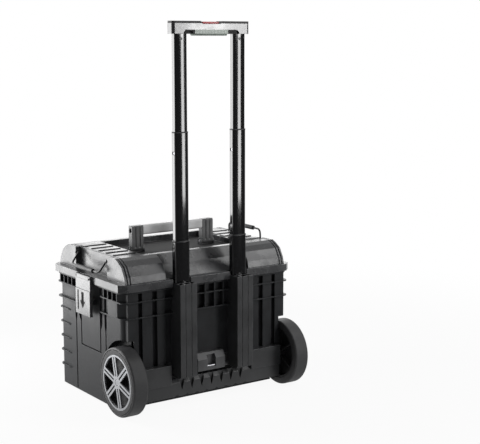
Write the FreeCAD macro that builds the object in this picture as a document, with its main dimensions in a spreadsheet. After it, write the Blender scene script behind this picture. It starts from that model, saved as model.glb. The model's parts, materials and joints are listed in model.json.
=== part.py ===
import FreeCAD, Part
import Sketcher
import math
import operator
import os
from types import SimpleNamespace

# Rolling toolbox: a moulded tub and lid on two wheels, with a three-stage pull handle on its rear wall.
# X runs along the case, Y from the handle side to the front, Z up from the ground.

doc = FreeCAD.newDocument("rolling_toolbox")
sheet = doc.addObject("Spreadsheet::Sheet", "Sizes")

# Driving dimensions in millimetres
DRIVING_SIZES = {
    "wheel_diameter": 180,
    "wheel_width": 42,
    "wheel_arch_gap": 15,
    "tyre_depth": 18,
    "tyre_shoulder": 5,
    "hub_rim": 6,
    "hub_web": 6,
    "hub_boss_diameter": 32,
    "trim_thickness": 4.5,
    "spoke_width": 6,
    "spoke_spacing": 4.5,
    "bush_wall": 3,
    "axle_diameter": 12,
    "axle_setback": 20,
    "axle_cap_wall": 1.5,
    "rim_end_overhang": 14,
    "rim_front_overhang": 14.5,
    "rim_height": 19,
    "rim_chamfer": 18,
    "rim_rear_overhang": 17.5,
    "tub_length": 508,
    "tub_depth": 353,
    "tub_height": 330,
    "tub_corner": 18,
    "ground_gap": 6,
    "wall": 3.5,
    "flange_height": 20,
    "flange_reach": 8,
    "rib": 3,
    "lattice_pitch": 23,
    "groove_depth": 4,
    "pad_depth": 10,
    "rear_rib_reach": 13.5,
    "corner_rib_reach": 4,
    "corner_rib_pitch": 40.5,
    "carrier_depth": 61,
    "carrier_ledge": 27,
    "carrier_reach": 25,
    "carrier_wall": 5,
    "skirt_tooth_pitch": 31,
    "skirt_tooth_depth": 6,
    "handle_spacing": 178,
    "upper_tube_width": 37,
    "upper_tube_depth": 19,
    "tube_wall": 1.5,
    "tube_corner": 4,
    "tube_crown": 1.9,
    "sliding_gap": 0.3,
    "running_gap": 0.05,
    "post_width": 50,
    "post_depth": 49.5,
    "post_foot": 7,
    "post_drop": 5,
    "base_tube_rise": 37,
    "collar_height": 3,
    "collar_lip": 0.6,
    "middle_overlap": 52,
    "middle_floor_gap": 3,
    "glide_height": 6,
    "upper_overlap": 65,
    "upper_floor_gap": 22.3,
    "grip_height": 32,
    "grip_depth": 28,
    "grip_end": 28,
    "grip_wall": 3,
    "button_length": 60,
    "button_depth": 19.2,
    "notch_depth": 7,
    "button_travel": 5.5,
    "button_gap": 0.4,
    "rod_diameter": 6,
    "lock_pin_diameter": 8,
    "lid_rise": 59,
    "lid_end_step": 18,
    "lid_seat_gap": 0.4,
    "lid_notch_width": 260,
    "end_recess_width": 173,
    "end_recess_depth": 15,
    "handle_recess_length": 320,
    "handle_recess_depth": 16,
    "lid_rib_pitch": 40,
    "lid_rib_height": 2.5,
    "seal_width": 4,
    "seal_height": 3,
    "hinge_knuckle_diameter": 11,
    "hinge_pin_diameter": 4,
    "hinge_spacing": 180,
    "latch_width": 80,
    "latch_length": 108,
    "latch_thickness": 8,
    "latch_pin_diameter": 4,
    "carry_length": 260,
    "carry_height": 62,
    "carry_arm_width": 35,
    "carry_arm_depth": 18,
    "carry_bar_height": 26,
    "carry_pin_diameter": 6,
    "bail_wire_diameter": 5,
    "bail_leg": 36.4,
    "bail_width": 154,
    "bail_bend": 12,
    "bail_sleeve_length": 90,
    "bail_sleeve_diameter": 12,
    "foot_length": 50,
    "foot_depth": 35,
    "screw_diameter": 5,
    "catch_width": 86,
    "catch_depth": 20.5,
    "catch_height": 47,
}

LEFT = -1
RIGHT = 1
SIDE_NAMES = {LEFT: "left", RIGHT: "right"}
ALONG_X = FreeCAD.Vector(1, 0, 0)
ALONG_Y = FreeCAD.Vector(0, 1, 0)
ALONG_Z = FreeCAD.Vector(0, 0, 1)
OPERATIONS = {"+": operator.add, "-": operator.sub, "*": operator.mul, "/": operator.truediv}
nodes = []

# How far a cut runs past the face that it opens
PAST = 1


class Size:
    """A length or an angle together with the sheet formula that it follows."""

    def __init__(self, value, formula):
        self.value = value
        self.formula = formula

    def __add__(self, other):
        return combined(self, "+", other)

    def __radd__(self, other):
        return combined(other, "+", self)

    def __sub__(self, other):
        return combined(self, "-", other)

    def __rsub__(self, other):
        return combined(other, "-", self)

    def __mul__(self, other):
        return combined(self, "*", other)

    def __rmul__(self, other):
        return combined(other, "*", self)

    def __truediv__(self, other):
        return combined(self, "/", other)

    def __neg__(self):
        return combined(0, "-", self)


def size_of(number):
    if isinstance(number, Size):
        return number
    return Size(float(number), f"({number:.6f})")


def combined(left, sign, right):
    left = size_of(left)
    right = size_of(right)
    value = OPERATIONS[sign](left.value, right.value)
    return Size(value, f"({left.formula} {sign} {right.formula})")


def fill_sheet():
    """Write the driving dimensions into the sheet and give each one back as a Size."""
    for row, (name, number) in enumerate(DRIVING_SIZES.items(), start=1):
        sheet.set(f"A{row}", name.replace("_", " "))
        sheet.set(f"B{row}", str(number))
        sheet.setAlias(f"B{row}", name)
    doc.recompute()
    return SimpleNamespace(
        **{name: Size(float(sheet.get(name)), f"Sizes.{name}") for name in DRIVING_SIZES}
    )


def bind(thing, prop, size):
    thing.setExpression(prop, size_of(size).formula)


def place(solid, x, y, z):
    for axis, distance in zip("xyz", (x, y, z)):
        bind(solid, f".Placement.Base.{axis}", distance)
    return solid


def node(solid, name):
    solid.Label = name
    nodes.append(solid)
    return solid


# Building blocks


def box(x0, x1, y0, y1, z0, z1):
    solid = doc.addObject("Part::Box", "block")
    bind(solid, "Length", size_of(x1) - x0)
    bind(solid, "Width", size_of(y1) - y0)
    bind(solid, "Height", size_of(z1) - z0)
    return place(solid, x0, y0, z0)


def side_box(side, inner, outer, y0, y1, z0, z1):
    """A box on the left or right of the middle plane, between two distances from it."""
    if side == RIGHT:
        return box(inner, outer, y0, y1, z0, z1)
    return box(-size_of(outer), -size_of(inner), y0, y1, z0, z1)


def rod_x(radius, x0, x1, y, z):
    solid = doc.addObject("Part::Cylinder", "rod")
    solid.Placement.Rotation = FreeCAD.Rotation(FreeCAD.Vector(0, 1, 0), 90)
    bind(solid, "Radius", radius)
    bind(solid, "Height", size_of(x1) - x0)
    return place(solid, x0, y, z)


def side_rod(side, radius, inner, outer, y, z):
    if side == RIGHT:
        return rod_x(radius, inner, outer, y, z)
    return rod_x(radius, -size_of(outer), -size_of(inner), y, z)


def rod_y(radius, y0, y1, x, z):
    solid = doc.addObject("Part::Cylinder", "rod")
    solid.Placement.Rotation = FreeCAD.Rotation(FreeCAD.Vector(1, 0, 0), -90)
    bind(solid, "Radius", radius)
    bind(solid, "Height", size_of(y1) - y0)
    return place(solid, x, y0, z)


def rod_z(radius, z0, z1, x, y):
    solid = doc.addObject("Part::Cylinder", "rod")
    bind(solid, "Radius", radius)
    bind(solid, "Height", size_of(z1) - z0)
    return place(solid, x, y, z0)


def union(*solids):
    if len(solids) == 1:
        return solids[0]
    joined = doc.addObject("Part::MultiFuse", "union")
    joined.Shapes = list(solids)
    joined.Refine = True
    return joined


def cut(base, *tools):
    result = doc.addObject("Part::Cut", "cut")
    result.Base = base
    result.Tool = union(*tools)
    result.Refine = True
    return result


def group(*solids):
    """Separate solids that are kept together as one node."""
    together = doc.addObject("Part::Compound", "group")
    together.Links = list(solids)
    return together


def new_sketch(body, plane, offset):
    sketch = body.newObject("Sketcher::SketchObject", "outline")
    support = [item for item in body.Origin.OriginFeatures if item.Role == f"{plane}_Plane"]
    sketch.AttachmentSupport = (support[0], [""])
    sketch.MapMode = "FlatFace"
    bind(sketch, ".AttachmentOffset.Base.z", offset)
    return sketch


def draw_outline(sketch, corners):
    """A closed outline whose corners are held at their distances from the sketch's origin."""
    first = sketch.GeometryCount
    count = len(corners)
    points = [FreeCAD.Vector(size_of(x).value, size_of(y).value, 0) for x, y in corners]
    for i in range(count):
        sketch.addGeometry(Part.LineSegment(points[i], points[(i + 1) % count]), False)
    for i in range(count):
        following = first + (i + 1) % count
        sketch.addConstraint(Sketcher.Constraint("Coincident", first + i, 2, following, 1))
    for i, corner in enumerate(corners):
        for direction, distance in zip(("DistanceX", "DistanceY"), corner):
            held = Sketcher.Constraint(direction, -1, 1, first + i, 1, size_of(distance).value)
            index = sketch.addConstraint(held)
            bind(sketch, f"Constraints[{index}]", distance)


def draw_circle(sketch, radius):
    circle = Part.Circle(FreeCAD.Vector(0, 0, 0), FreeCAD.Vector(0, 0, 1), size_of(radius).value)
    line = sketch.addGeometry(circle, False)
    sketch.addConstraint(Sketcher.Constraint("Coincident", line, 3, -1, 1))
    index = sketch.addConstraint(Sketcher.Constraint("Radius", line, size_of(radius).value))
    bind(sketch, f"Constraints[{index}]", radius)


def draw_crowned(sketch, x, y, width, depth):
    """A rectangle whose front and rear sides bulge outwards, with the full depth in the middle."""
    crown = dim.tube_crown * width * width / (dim.upper_tube_width * dim.upper_tube_width)
    radius = (width * width / 4 + crown * crown) / (2 * crown)
    left, right = x - width / 2, x + width / 2
    rear, front = y - depth / 2 + crown, y + depth / 2 - crown
    corners = [(right, rear), (right, front), (left, front), (left, rear)]
    points = [FreeCAD.Vector(across.value, along.value, 0) for across, along in corners]
    for first, last in ((0, 1), (2, 3)):
        sketch.addGeometry(Part.LineSegment(points[first], points[last]), False)
    for centre, first, last in ((front + crown - radius, 1, 2), (rear - crown + radius, 3, 0)):
        middle = FreeCAD.Vector(x.value, centre.value, 0)
        start = math.atan2(points[first].y - middle.y, points[first].x - middle.x)
        end = math.atan2(points[last].y - middle.y, points[last].x - middle.x)
        circle = Part.Circle(middle, ALONG_Z, radius.value)
        arc = sketch.addGeometry(Part.ArcOfCircle(circle, start, end), False)
        index = sketch.addConstraint(Sketcher.Constraint("Radius", arc, radius.value))
        bind(sketch, f"Constraints[{index}]", radius)
    for line, end, following, start in ((0, 2, 2, 1), (2, 2, 1, 1), (1, 2, 3, 1), (3, 2, 0, 1)):
        sketch.addConstraint(Sketcher.Constraint("Coincident", line, end, following, start))
    for (line, end), corner in zip(((0, 1), (0, 2), (1, 1), (1, 2)), corners):
        for direction, distance in zip(("DistanceX", "DistanceY"), corner):
            index = sketch.addConstraint(Sketcher.Constraint(direction, -1, 1, line, end, distance.value))
            bind(sketch, f"Constraints[{index}]", distance)


def new_body():
    return doc.addObject("PartDesign::Body", "body")


def pad(body, sketch, length):
    feature = body.newObject("PartDesign::Pad", "pad")
    feature.Profile = sketch
    bind(feature, "Length", length)
    return feature


def prism(plane, corners, start, end):
    """An outline in a plane, extruded along that plane's normal from start to end."""
    body = new_body()
    offset = -size_of(end) if plane == "XZ" else start
    sketch = new_sketch(body, plane, offset)
    draw_outline(sketch, corners)
    pad(body, sketch, size_of(end) - start)
    return body


def round_edges(body, radius, wanted):
    """Round the edges of the body that the test picks."""
    doc.recompute()
    tip = body.Tip
    names = [f"Edge{i}" for i, edge in enumerate(tip.Shape.Edges, start=1) if wanted(edge)]
    rounding = body.newObject("PartDesign::Fillet", "rounding")
    rounding.Base = (tip, names)
    bind(rounding, "Radius", radius)
    return body


def runs_along(axis):
    """A test for straight edges that run along one axis."""

    def wanted(edge):
        if not isinstance(edge.Curve, Part.Line):
            return False
        return abs(abs(edge.Curve.Direction.dot(axis)) - 1) < 1e-6

    return wanted


def rounded_block(x0, x1, y0, y1, z0, z1, radius, axis=ALONG_Z):
    """A block whose edges along one axis are rounded."""
    body = prism("XY", [(x0, y0), (x1, y0), (x1, y1), (x0, y1)], z0, z1)
    return round_edges(body, radius, runs_along(axis))


def turned(profile, y, z):
    """A profile of (distance along X, radius) points turned about an axis along X."""
    body = new_body()
    sketch = new_sketch(body, "XY", 0)
    draw_outline(sketch, profile)
    feature = body.newObject("PartDesign::Revolution", "turning")
    feature.Profile = sketch
    feature.ReferenceAxis = (sketch, ["H_Axis"])
    feature.Angle = 360
    return place(body, 0, y, z)


def repeat_round(body, feature, sketch, count):
    """Copies of a feature spaced evenly about the sketch's normal."""
    pattern = body.newObject("PartDesign::PolarPattern", "spokes")
    pattern.Originals = [feature]
    pattern.Axis = (sketch, ["N_Axis"])
    pattern.Angle = 360
    pattern.Occurrences = count
    body.Tip = pattern
    return pattern


dim = fill_sheet()

# Places worked out from the driving dimensions

wheel_radius = dim.wheel_diameter / 2
axle_radius = dim.axle_diameter / 2
rim_depth = dim.rim_rear_overhang + dim.tub_depth + dim.rim_front_overhang
rim_front = (wheel_radius - dim.axle_setback + rim_depth) / 2
rim_rear = rim_front - rim_depth
middle_y = (rim_front + rim_rear) / 2
tub_rear = rim_rear + dim.rim_rear_overhang
tub_front = tub_rear + dim.tub_depth
tub_end = dim.tub_length / 2
tub_middle = (tub_rear + tub_front) / 2
rim_end = tub_end + dim.rim_end_overhang
tub_bottom = dim.ground_gap
tub_top = dim.ground_gap + dim.tub_height
flange_bottom = tub_top - dim.flange_height
flange_end = tub_end + dim.flange_reach
flange_front = tub_front + dim.flange_reach + 0.5
flange_rear = tub_rear - dim.flange_reach - 3.5
lid_seat = tub_top + dim.lid_seat_gap
rim_bottom = lid_seat + 4.6 - dim.rim_height
rim_top = rim_bottom + dim.rim_height
lid_end = rim_end - dim.lid_end_step
lid_top = rim_top + dim.lid_rise
axle_y = rim_rear + dim.axle_setback
axle_z = wheel_radius
arch_radius = wheel_radius + dim.wheel_arch_gap
arch_inner = tub_end - dim.wheel_width / 2 - 4
carrier_front = axle_y + 25.5
carrier_top = axle_z + dim.carrier_ledge
carrier_bottom = axle_z - dim.carrier_depth
carrier_end = arch_inner - 4
post_x = dim.handle_spacing / 2
post_half = dim.post_width / 2
post_rear = tub_rear - dim.post_depth
post_bottom = axle_z - dim.post_foot
post_top = tub_top - dim.post_drop

# Nested tube sections: each stage grows by the wall and the sliding gap of the one inside it
stage_growth = 2 * (dim.tube_wall + dim.sliding_gap)
middle_width = dim.upper_tube_width + stage_growth
middle_depth = dim.upper_tube_depth + stage_growth
base_width = middle_width + stage_growth
base_depth = middle_depth + stage_growth
tube_y = tub_rear - base_depth / 2 - 0.2
base_bottom = axle_z + axle_radius + 4
base_top = lid_top + dim.base_tube_rise
base_collar_top = base_top + dim.collar_height
middle_bottom = base_top - dim.middle_overlap
middle_travel = middle_bottom - dim.glide_height - dim.middle_floor_gap - base_bottom
middle_collar_bottom = base_collar_top + dim.sliding_gap + middle_travel
middle_collar_top = middle_collar_bottom + dim.collar_height
upper_bottom = middle_collar_bottom - dim.upper_overlap
upper_travel = upper_bottom - dim.upper_floor_gap - middle_bottom
grip_bottom = middle_collar_top + dim.sliding_gap + upper_travel
grip_top = grip_bottom + dim.grip_height
grip_half = post_x + dim.grip_end
bridge_top = grip_bottom + 14.5
bridge_bottom = bridge_top - 5
pocket_floor = grip_bottom + 19
button_half = (dim.button_length - dim.notch_depth) / 2 - PAST
lock_z = upper_bottom + 14

hinge_radius = dim.hinge_knuckle_diameter / 2
hinge_y = rim_front - hinge_radius
hinge_z = rim_bottom - hinge_radius
latch_pin_radius = dim.latch_pin_diameter / 2
latch_knuckle_radius = latch_pin_radius + 2.2
latch_x = rim_end + latch_knuckle_radius + 0.4
latch_pin_z = rim_top - latch_knuckle_radius - 0.2
carry_pivot_z = lid_top - 6
carry_half = dim.carry_length / 2
bail_x = lid_end - 4
bail_z = lid_top - 14
recess_floor = lid_top - dim.handle_recess_depth


# Tub


def wheel_arch(side, radius, inner):
    return side_rod(side, radius, inner, tub_end + 40, axle_y, axle_z)


def end_slots():
    """Grooves beside the latch panel and the outer grooves of both end walls, wide above and narrow below."""
    slots = []
    wide_top = flange_bottom + 2
    neck = flange_bottom - 101
    for side in (LEFT, RIGHT):
        deep = tub_end - dim.groove_depth
        start, end = (deep, tub_end + 1) if side == RIGHT else (-tub_end - 1, -deep)
        for direction in (-1, 1):
            inner = [(51, wide_top), (65, wide_top), (65, neck), (56, neck - 15), (56, 140), (51, 140)]
            outer = [(76, wide_top - 24), (88, wide_top - 24), (88, neck), (85, neck - 15)]
            outer += [(85, tub_bottom + 2), (80, tub_bottom + 2), (80, neck - 15), (76, neck)]
            for outline in (inner, outer):
                corners = [(middle_y + direction * across, up) for across, up in outline]
                slots.append(prism("YZ", corners, start, end))
        foot_groove = (middle_y - 56, middle_y + 56, 137, 141)
        slots.append(side_box(side, deep, tub_end + 1, *foot_groove))
    return slots


def end_slot_backs():
    """Thickening behind the end grooves, so that the wall keeps its thickness there."""
    backs = []
    inside = tub_end - dim.groove_depth - dim.wall
    for side in (LEFT, RIGHT):
        for direction in (-1, 1):
            for near, far in ((51, 65), (76, 88)):
                first = middle_y + direction * near
                last = middle_y + direction * far
                low, high = (first, last) if direction == 1 else (last, first)
                backs.append(
                    side_box(side, inside, tub_end, low - dim.wall, high + dim.wall, tub_bottom, tub_top)
                )
        backs.append(side_box(side, inside, tub_end, middle_y - 56, middle_y + 56, 133, 145))
    return backs


# Each pad from the end of the tub inwards
REAR_PADS = ((8, 38), (50, 79), (94, 118))
FRONT_PADS = ((24, 64), (84, 124), (144, 184))


def wall_pads(spread):
    """Upright raised pads on the rear and front walls; spread shrinks them to their hollow insides."""
    pads = []
    for side in (LEFT, RIGHT):
        for far, near in REAR_PADS:
            pads.append(
                side_box(
                    side, tub_end - near + spread, tub_end - far - spread,
                    tub_rear - dim.pad_depth + spread, tub_rear + 5,
                    carrier_top + spread, flange_bottom + 4 - spread,
                )
            )
        for far, near in FRONT_PADS:
            pads.append(
                side_box(
                    side, tub_end - near + spread, tub_end - far - spread,
                    tub_front - 5, tub_front + 5 - spread,
                    40 + spread, 240 - spread,
                )
            )
    return pads


def tub_plates():
    """Horizontal ribs that run round the upper tub, the flange and the ribs of the front corners."""
    plates = [
        rounded_block(
            -flange_end, flange_end, flange_rear, flange_front, flange_bottom, tub_top,
            dim.tub_corner + dim.flange_reach,
        )
    ]
    for height in (flange_bottom - 64, flange_bottom - 23):
        plates.append(
            rounded_block(
                -flange_end, flange_end, tub_rear - dim.rear_rib_reach, tub_front + dim.flange_reach - 2,
                height - dim.rib / 2, height + dim.rib / 2, dim.tub_corner,
            )
        )
    reach = dim.corner_rib_reach
    for step in range(1, 6):
        height = tub_bottom + 12.5 + step * dim.corner_rib_pitch
        plates.append(
            cut(
                rounded_block(
                    -tub_end - reach, tub_end + reach, tub_front - 70, tub_front + reach,
                    height - dim.rib / 2, height + dim.rib / 2, dim.tub_corner,
                ),
                box(-tub_end + 50, tub_end - 50, tub_front - 90, tub_front + 20, height - 9, height + 9),
            )
        )
    return plates


def tub_lattice():
    """Upright ribs between the flange and the rib below it, on the ends, the rear and the front."""
    low = flange_bottom - 23
    high = flange_bottom + 2
    half = dim.rib / 2
    ribs = []
    for side in (LEFT, RIGHT):
        for direction in (-1, 1):
            for step in range(4):
                y = tub_middle + direction * (dim.tub_depth / 2 - 18.5 - step * dim.lattice_pitch)
                ribs.append(side_box(side, tub_end - 3, flange_end, y - half, y + half, low, high))
    for x in (-43, -15, 15, 43):
        ribs.append(
            box(x - half, x + half, tub_rear - dim.rear_rib_reach, tub_rear + 3, flange_bottom - 64, high)
        )
    for step in range(-4, 5):
        x = step * (tub_end - 34) / 4
        ribs.append(box(x - half, x + half, tub_front - 3, tub_front + 6, flange_bottom - 64, low))
    return ribs


def tub_cavity():
    """The space inside the tub, with the hollows of the pads, clear of the arches and the rear step."""
    wall = dim.wall
    inside = rounded_block(
        -tub_end + wall, tub_end - wall, tub_rear + wall, tub_front - wall,
        tub_bottom + wall, tub_top + 10, dim.tub_corner - wall,
    )
    keep_out = [wheel_arch(side, arch_radius + wall, arch_inner - wall) for side in (LEFT, RIGHT)]
    step = box(-tub_end, tub_end, tub_rear - 1, carrier_front + wall, tub_bottom, carrier_top + wall)
    hollow = cut(inside, step, *keep_out, *end_slot_backs())
    return union(hollow, *wall_pads(wall))


def hinge_stations():
    return [-dim.hinge_spacing, 0 * dim.hinge_spacing, dim.hinge_spacing]


LID_KNUCKLE = 15
TUB_KNUCKLE = 14


def tub_shell():
    block = rounded_block(-tub_end, tub_end, tub_rear, tub_front, tub_bottom, tub_top, dim.tub_corner)
    solid = union(block, *wall_pads(0), *tub_plates(), *tub_lattice())
    step = box(-tub_end - 20, tub_end + 20, tub_rear - 30, carrier_front, tub_bottom - 1, carrier_top)
    arches = [wheel_arch(side, arch_radius, arch_inner) for side in (LEFT, RIGHT)]
    post_space = [
        side_box(side, post_x - post_half, post_x + post_half, tub_rear - 60, tub_rear, 80, tub_top + 20)
        for side in (LEFT, RIGHT)
    ]
    latch_space = [
        side_box(
            side, tub_end, flange_end + 5, middle_y - 68, middle_y + 68,
            flange_bottom - 80, flange_bottom - 0.5,
        )
        for side in (LEFT, RIGHT)
    ]
    solid = cut(solid, step, *arches, *post_space, *latch_space, *end_slots(), tub_cavity())
    knuckles = []
    reliefs = []
    bores = []
    for x in hinge_stations():
        gap = dim.sliding_gap
        reliefs.append(
            box(
                x - LID_KNUCKLE - gap, x + LID_KNUCKLE + gap, hinge_y - hinge_radius - gap, hinge_y + 20,
                hinge_z - hinge_radius - 5, rim_bottom + 1.5,
            )
        )
        bores.append(
            rod_x(dim.hinge_pin_diameter / 2, x - LID_KNUCKLE - TUB_KNUCKLE, x + LID_KNUCKLE + TUB_KNUCKLE,
                  hinge_y, hinge_z)
        )
        for direction in (-1, 1):
            near = x + direction * (LID_KNUCKLE + gap)
            far = x + direction * (LID_KNUCKLE + TUB_KNUCKLE)
            low, high = (near, far) if direction == 1 else (far, near)
            knuckles.append(rod_x(hinge_radius, low, high, hinge_y, hinge_z))
            web = (hinge_y - hinge_radius - 3, hinge_y, hinge_z - hinge_radius, hinge_z + hinge_radius - 0.5)
            knuckles.append(box(low, high, *web))
    screw_holes = [
        rod_y(dim.screw_diameter / 2, carrier_front - 1, carrier_front + dim.wall + 1, x, z)
        for x, z in carrier_screw_places()
    ]
    solid = cut(union(cut(solid, *reliefs), *knuckles), *bores, *screw_holes)
    return node(solid, "tub_shell")


def carrier_screw_places():
    outer = carrier_end - 45
    return [(x, carrier_bottom + 25) for x in (-outer, -outer / 3, outer / 3, outer)]


def hinge_pins():
    pins = [
        rod_x(dim.hinge_pin_diameter / 2, x - LID_KNUCKLE - TUB_KNUCKLE, x + LID_KNUCKLE + TUB_KNUCKLE,
              hinge_y, hinge_z)
        for x in hinge_stations()
    ]
    return node(group(*pins), "hinge_pins")


def front_feet():
    feet = []
    for side in (LEFT, RIGHT):
        outer = tub_end - 30
        inner = outer - dim.foot_length
        x0, x1 = (inner, outer) if side == RIGHT else (-outer, -inner)
        front = tub_front - 8
        feet.append(rounded_block(x0, x1, front - dim.foot_depth, front, 0, tub_bottom, 8))
    return node(group(*feet), "front_feet")


# Axle carrier and wheels


AXLE_RELIEF = 0.5
AXLE_TUNNEL_WALL = 3


def axle_tunnel(growth):
    """Round casing over the axle between the two posts."""
    end = post_x - post_half
    return rod_x(axle_radius + AXLE_TUNNEL_WALL + growth, -end, end, axle_y, axle_z)


def axle_carrier():
    """Block across the rear of the tub that holds the axle, with ledges at its ends and a toothed skirt."""
    rear = tub_rear - dim.carrier_reach
    lower_rear = rear + 5
    ledge_split = carrier_bottom + 35
    skirt_end = 127
    skirt_top = post_bottom - 8
    parts = [box(-carrier_end, carrier_end, tub_rear, carrier_front, carrier_bottom, carrier_top)]
    for side in (LEFT, RIGHT):
        parts.append(side_box(side, skirt_end, carrier_end, rear, tub_rear + 1, ledge_split, carrier_top))
        parts.append(
            side_box(
                side, skirt_end - 1, carrier_end, lower_rear, tub_rear + 1, carrier_bottom, ledge_split + 1
            )
        )
        parts.append(
            side_rod(side, axle_radius + 8, carrier_end - 5, arch_inner + 2.6, axle_y, axle_z)
        )
    skirt = [
        (lower_rear, carrier_bottom), (tub_rear + 1, carrier_bottom), (tub_rear + 1, skirt_top),
        (lower_rear + 6, skirt_top), (lower_rear, skirt_top - 10),
    ]
    parts.append(prism("YZ", skirt, -skirt_end, skirt_end))
    parts.append(axle_tunnel(0))
    cuts = []
    pitch = dim.skirt_tooth_pitch
    for step in range(-3, 4):
        x = step * pitch
        tooth = [(x - 9, skirt_top + 1), (x, carrier_bottom + 14), (x + 9, skirt_top + 1)]
        cuts.append(prism("XZ", tooth, lower_rear - 1, lower_rear + dim.skirt_tooth_depth))
    for step in (-3.5, -2.5, -1.5, -0.5, 0.5, 1.5, 2.5, 3.5):
        x = step * pitch
        scallop = [(x - 9, carrier_bottom - 1), (x, carrier_bottom + 4), (x + 9, carrier_bottom - 1)]
        cuts.append(prism("XZ", scallop, lower_rear - 1, lower_rear + 12))
    wall = dim.carrier_wall
    for side in (LEFT, RIGHT):
        cuts.append(
            side_box(side, skirt_end + wall, carrier_end - wall, lower_rear + wall, carrier_front - wall,
                     carrier_bottom - 5, carrier_top - wall)
        )
        cuts.append(
            side_box(side, wall / 2, skirt_end - wall, lower_rear + 12, carrier_front - wall,
                     carrier_bottom - 5, axle_z - axle_radius - AXLE_TUNNEL_WALL)
        )
    cuts.append(rod_x(axle_radius, -arch_inner - 5, arch_inner + 5, axle_y, axle_z))
    for x, z in carrier_screw_places():
        cuts.append(rod_y(dim.screw_diameter / 2, carrier_front - wall - 1, carrier_front + 1, x, z))
    return node(cut(union(*parts), *cuts), "axle_carrier")


def body_screws():
    screws = []
    for x, z in carrier_screw_places():
        seat = carrier_front + dim.wall
        shank = rod_y(dim.screw_diameter / 2, carrier_front - dim.carrier_wall, seat + 0.5, x, z)
        head = rod_y(dim.screw_diameter, seat, seat + 2.5, x, z)
        screws.append(union(shank, head))
    return node(group(*screws), "body_screws")


def along_wheel(side, *places):
    """Distances from the wheel's middle plane, outwards, as places along X."""
    return [side * (tub_end + distance) for distance in places]


def axle():
    end = tub_end + 18
    return node(rod_x(axle_radius, -end, end, axle_y, axle_z), "axle")


def axle_caps():
    caps = []
    for side in (LEFT, RIGHT):
        mouth, seat, face = along_wheel(side, 11, 18, 20)
        outer = axle_radius + dim.axle_cap_wall
        bore = axle_radius
        profile = [(mouth, bore), (seat, bore), (seat, 0), (face, 0), (face, outer), (mouth, outer)]
        caps.append(turned(profile, axle_y, axle_z))
    return node(group(*caps), "axle_caps")


def tyre(side):
    half = dim.wheel_width / 2
    inner, outer, groove = along_wheel(side, -half, half, half - 1.2)
    bore = wheel_radius - dim.tyre_depth
    shoulder = wheel_radius - dim.tyre_shoulder
    profile = [
        (inner, bore), (outer, bore), (outer, shoulder - 2.6), (groove, shoulder - 2.1),
        (groove, shoulder - 0.9), (outer, shoulder - 0.4), (outer, wheel_radius), (inner, wheel_radius),
    ]
    body = turned(profile, axle_y, axle_z)

    def on_tread(edge):
        return isinstance(edge.Curve, Part.Circle) and abs(edge.Curve.Radius - wheel_radius.value) < 1e-6

    round_edges(body, dim.tyre_shoulder, on_tread)
    return node(body, f"tyre_{SIDE_NAMES[side]}")


def hub(side):
    """Moulded wheel centre: rim, web and boss, with stiffening ribs on the inner side."""
    half = dim.wheel_width / 2
    inner, face, rim_inner = along_wheel(side, 1 - half, half - 5, 2 - half)
    web_inner, web_outer = along_wheel(side, -dim.hub_web / 2, dim.hub_web / 2)
    rim = wheel_radius - dim.tyre_depth - 0.1
    well = rim - dim.hub_rim
    boss = dim.hub_boss_diameter / 2
    bore = axle_radius + dim.bush_wall
    profile = [
        (inner, bore), (face, bore), (face, boss), (web_outer, boss), (web_outer, well), (face, well),
        (face, rim), (rim_inner, rim), (rim_inner, well), (web_inner, well), (web_inner, boss), (inner, boss),
    ]
    body = turned(profile, axle_y, axle_z)
    low, high = (web_inner, rim_inner) if side == LEFT else (rim_inner, web_inner)
    sketch = new_sketch(body, "YZ", low)
    draw_outline(sketch, [(-2, boss - 1), (2, boss - 1), (2, well + 1), (-2, well + 1)])
    repeat_round(body, pad(body, sketch, high - low), sketch, 6)
    return node(body, f"hub_{SIDE_NAMES[side]}")


SPOKE_TURN = 13


def trim(side):
    """Bright ring with pairs of spokes, seated on the outer faces of the hub's rim and boss."""
    half = dim.wheel_width / 2
    seat, face = along_wheel(side, half - 5, half - 5 + dim.trim_thickness)
    low, high = (seat, face) if side == RIGHT else (face, seat)
    ring = wheel_radius - dim.tyre_depth - 0.6
    boss = dim.hub_boss_diameter / 2
    body = new_body()
    ring_sketch = new_sketch(body, "YZ", low)
    draw_circle(ring_sketch, ring)
    draw_circle(ring_sketch, ring - dim.hub_rim + 1)
    pad(body, ring_sketch, high - low)
    spokes = new_sketch(body, "YZ", low)
    near = dim.spoke_spacing / 2
    far = near + dim.spoke_width
    for direction in (-1, 1):
        draw_outline(
            spokes,
            [(direction * near, boss - 3), (direction * far, boss - 3),
             (direction * far, ring - dim.hub_rim + 3), (direction * near, ring - dim.hub_rim + 3)],
        )
    repeat_round(body, pad(body, spokes, high - low - 0.5), spokes, 6)
    centre = new_sketch(body, "YZ", low)
    draw_circle(centre, boss)
    draw_circle(centre, axle_radius + dim.axle_cap_wall + 0.7)
    pad(body, centre, high - low)
    body.Placement.Rotation = FreeCAD.Rotation(ALONG_X, -SPOKE_TURN * side * LEFT)
    return node(place(body, 0, axle_y, axle_z), f"trim_{SIDE_NAMES[side]}")


def bush(side):
    """Flanged sleeve between the hub and the axle."""
    half = dim.wheel_width / 2
    flange, inner, outer = along_wheel(side, -half - 0.5, 1 - half, half - 11)
    bore = axle_radius + dim.running_gap
    sleeve = axle_radius + dim.bush_wall
    profile = [
        (flange, bore), (outer, bore), (outer, sleeve),
        (inner, sleeve), (inner, sleeve + 3), (flange, sleeve + 3),
    ]
    return node(turned(profile, axle_y, axle_z), f"bush_{SIDE_NAMES[side]}")


# Pull handle


def tube(side, width, depth, corner, low, high):
    """Tube standing on one side, with crowned faces and rounded corners."""
    return cut(
        tube_core(side, width, depth, corner, low, high),
        tube_core(side, width - 2 * dim.tube_wall, depth - 2 * dim.tube_wall, corner - dim.tube_wall,
                  low - 1, high + 1),
    )


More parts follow.
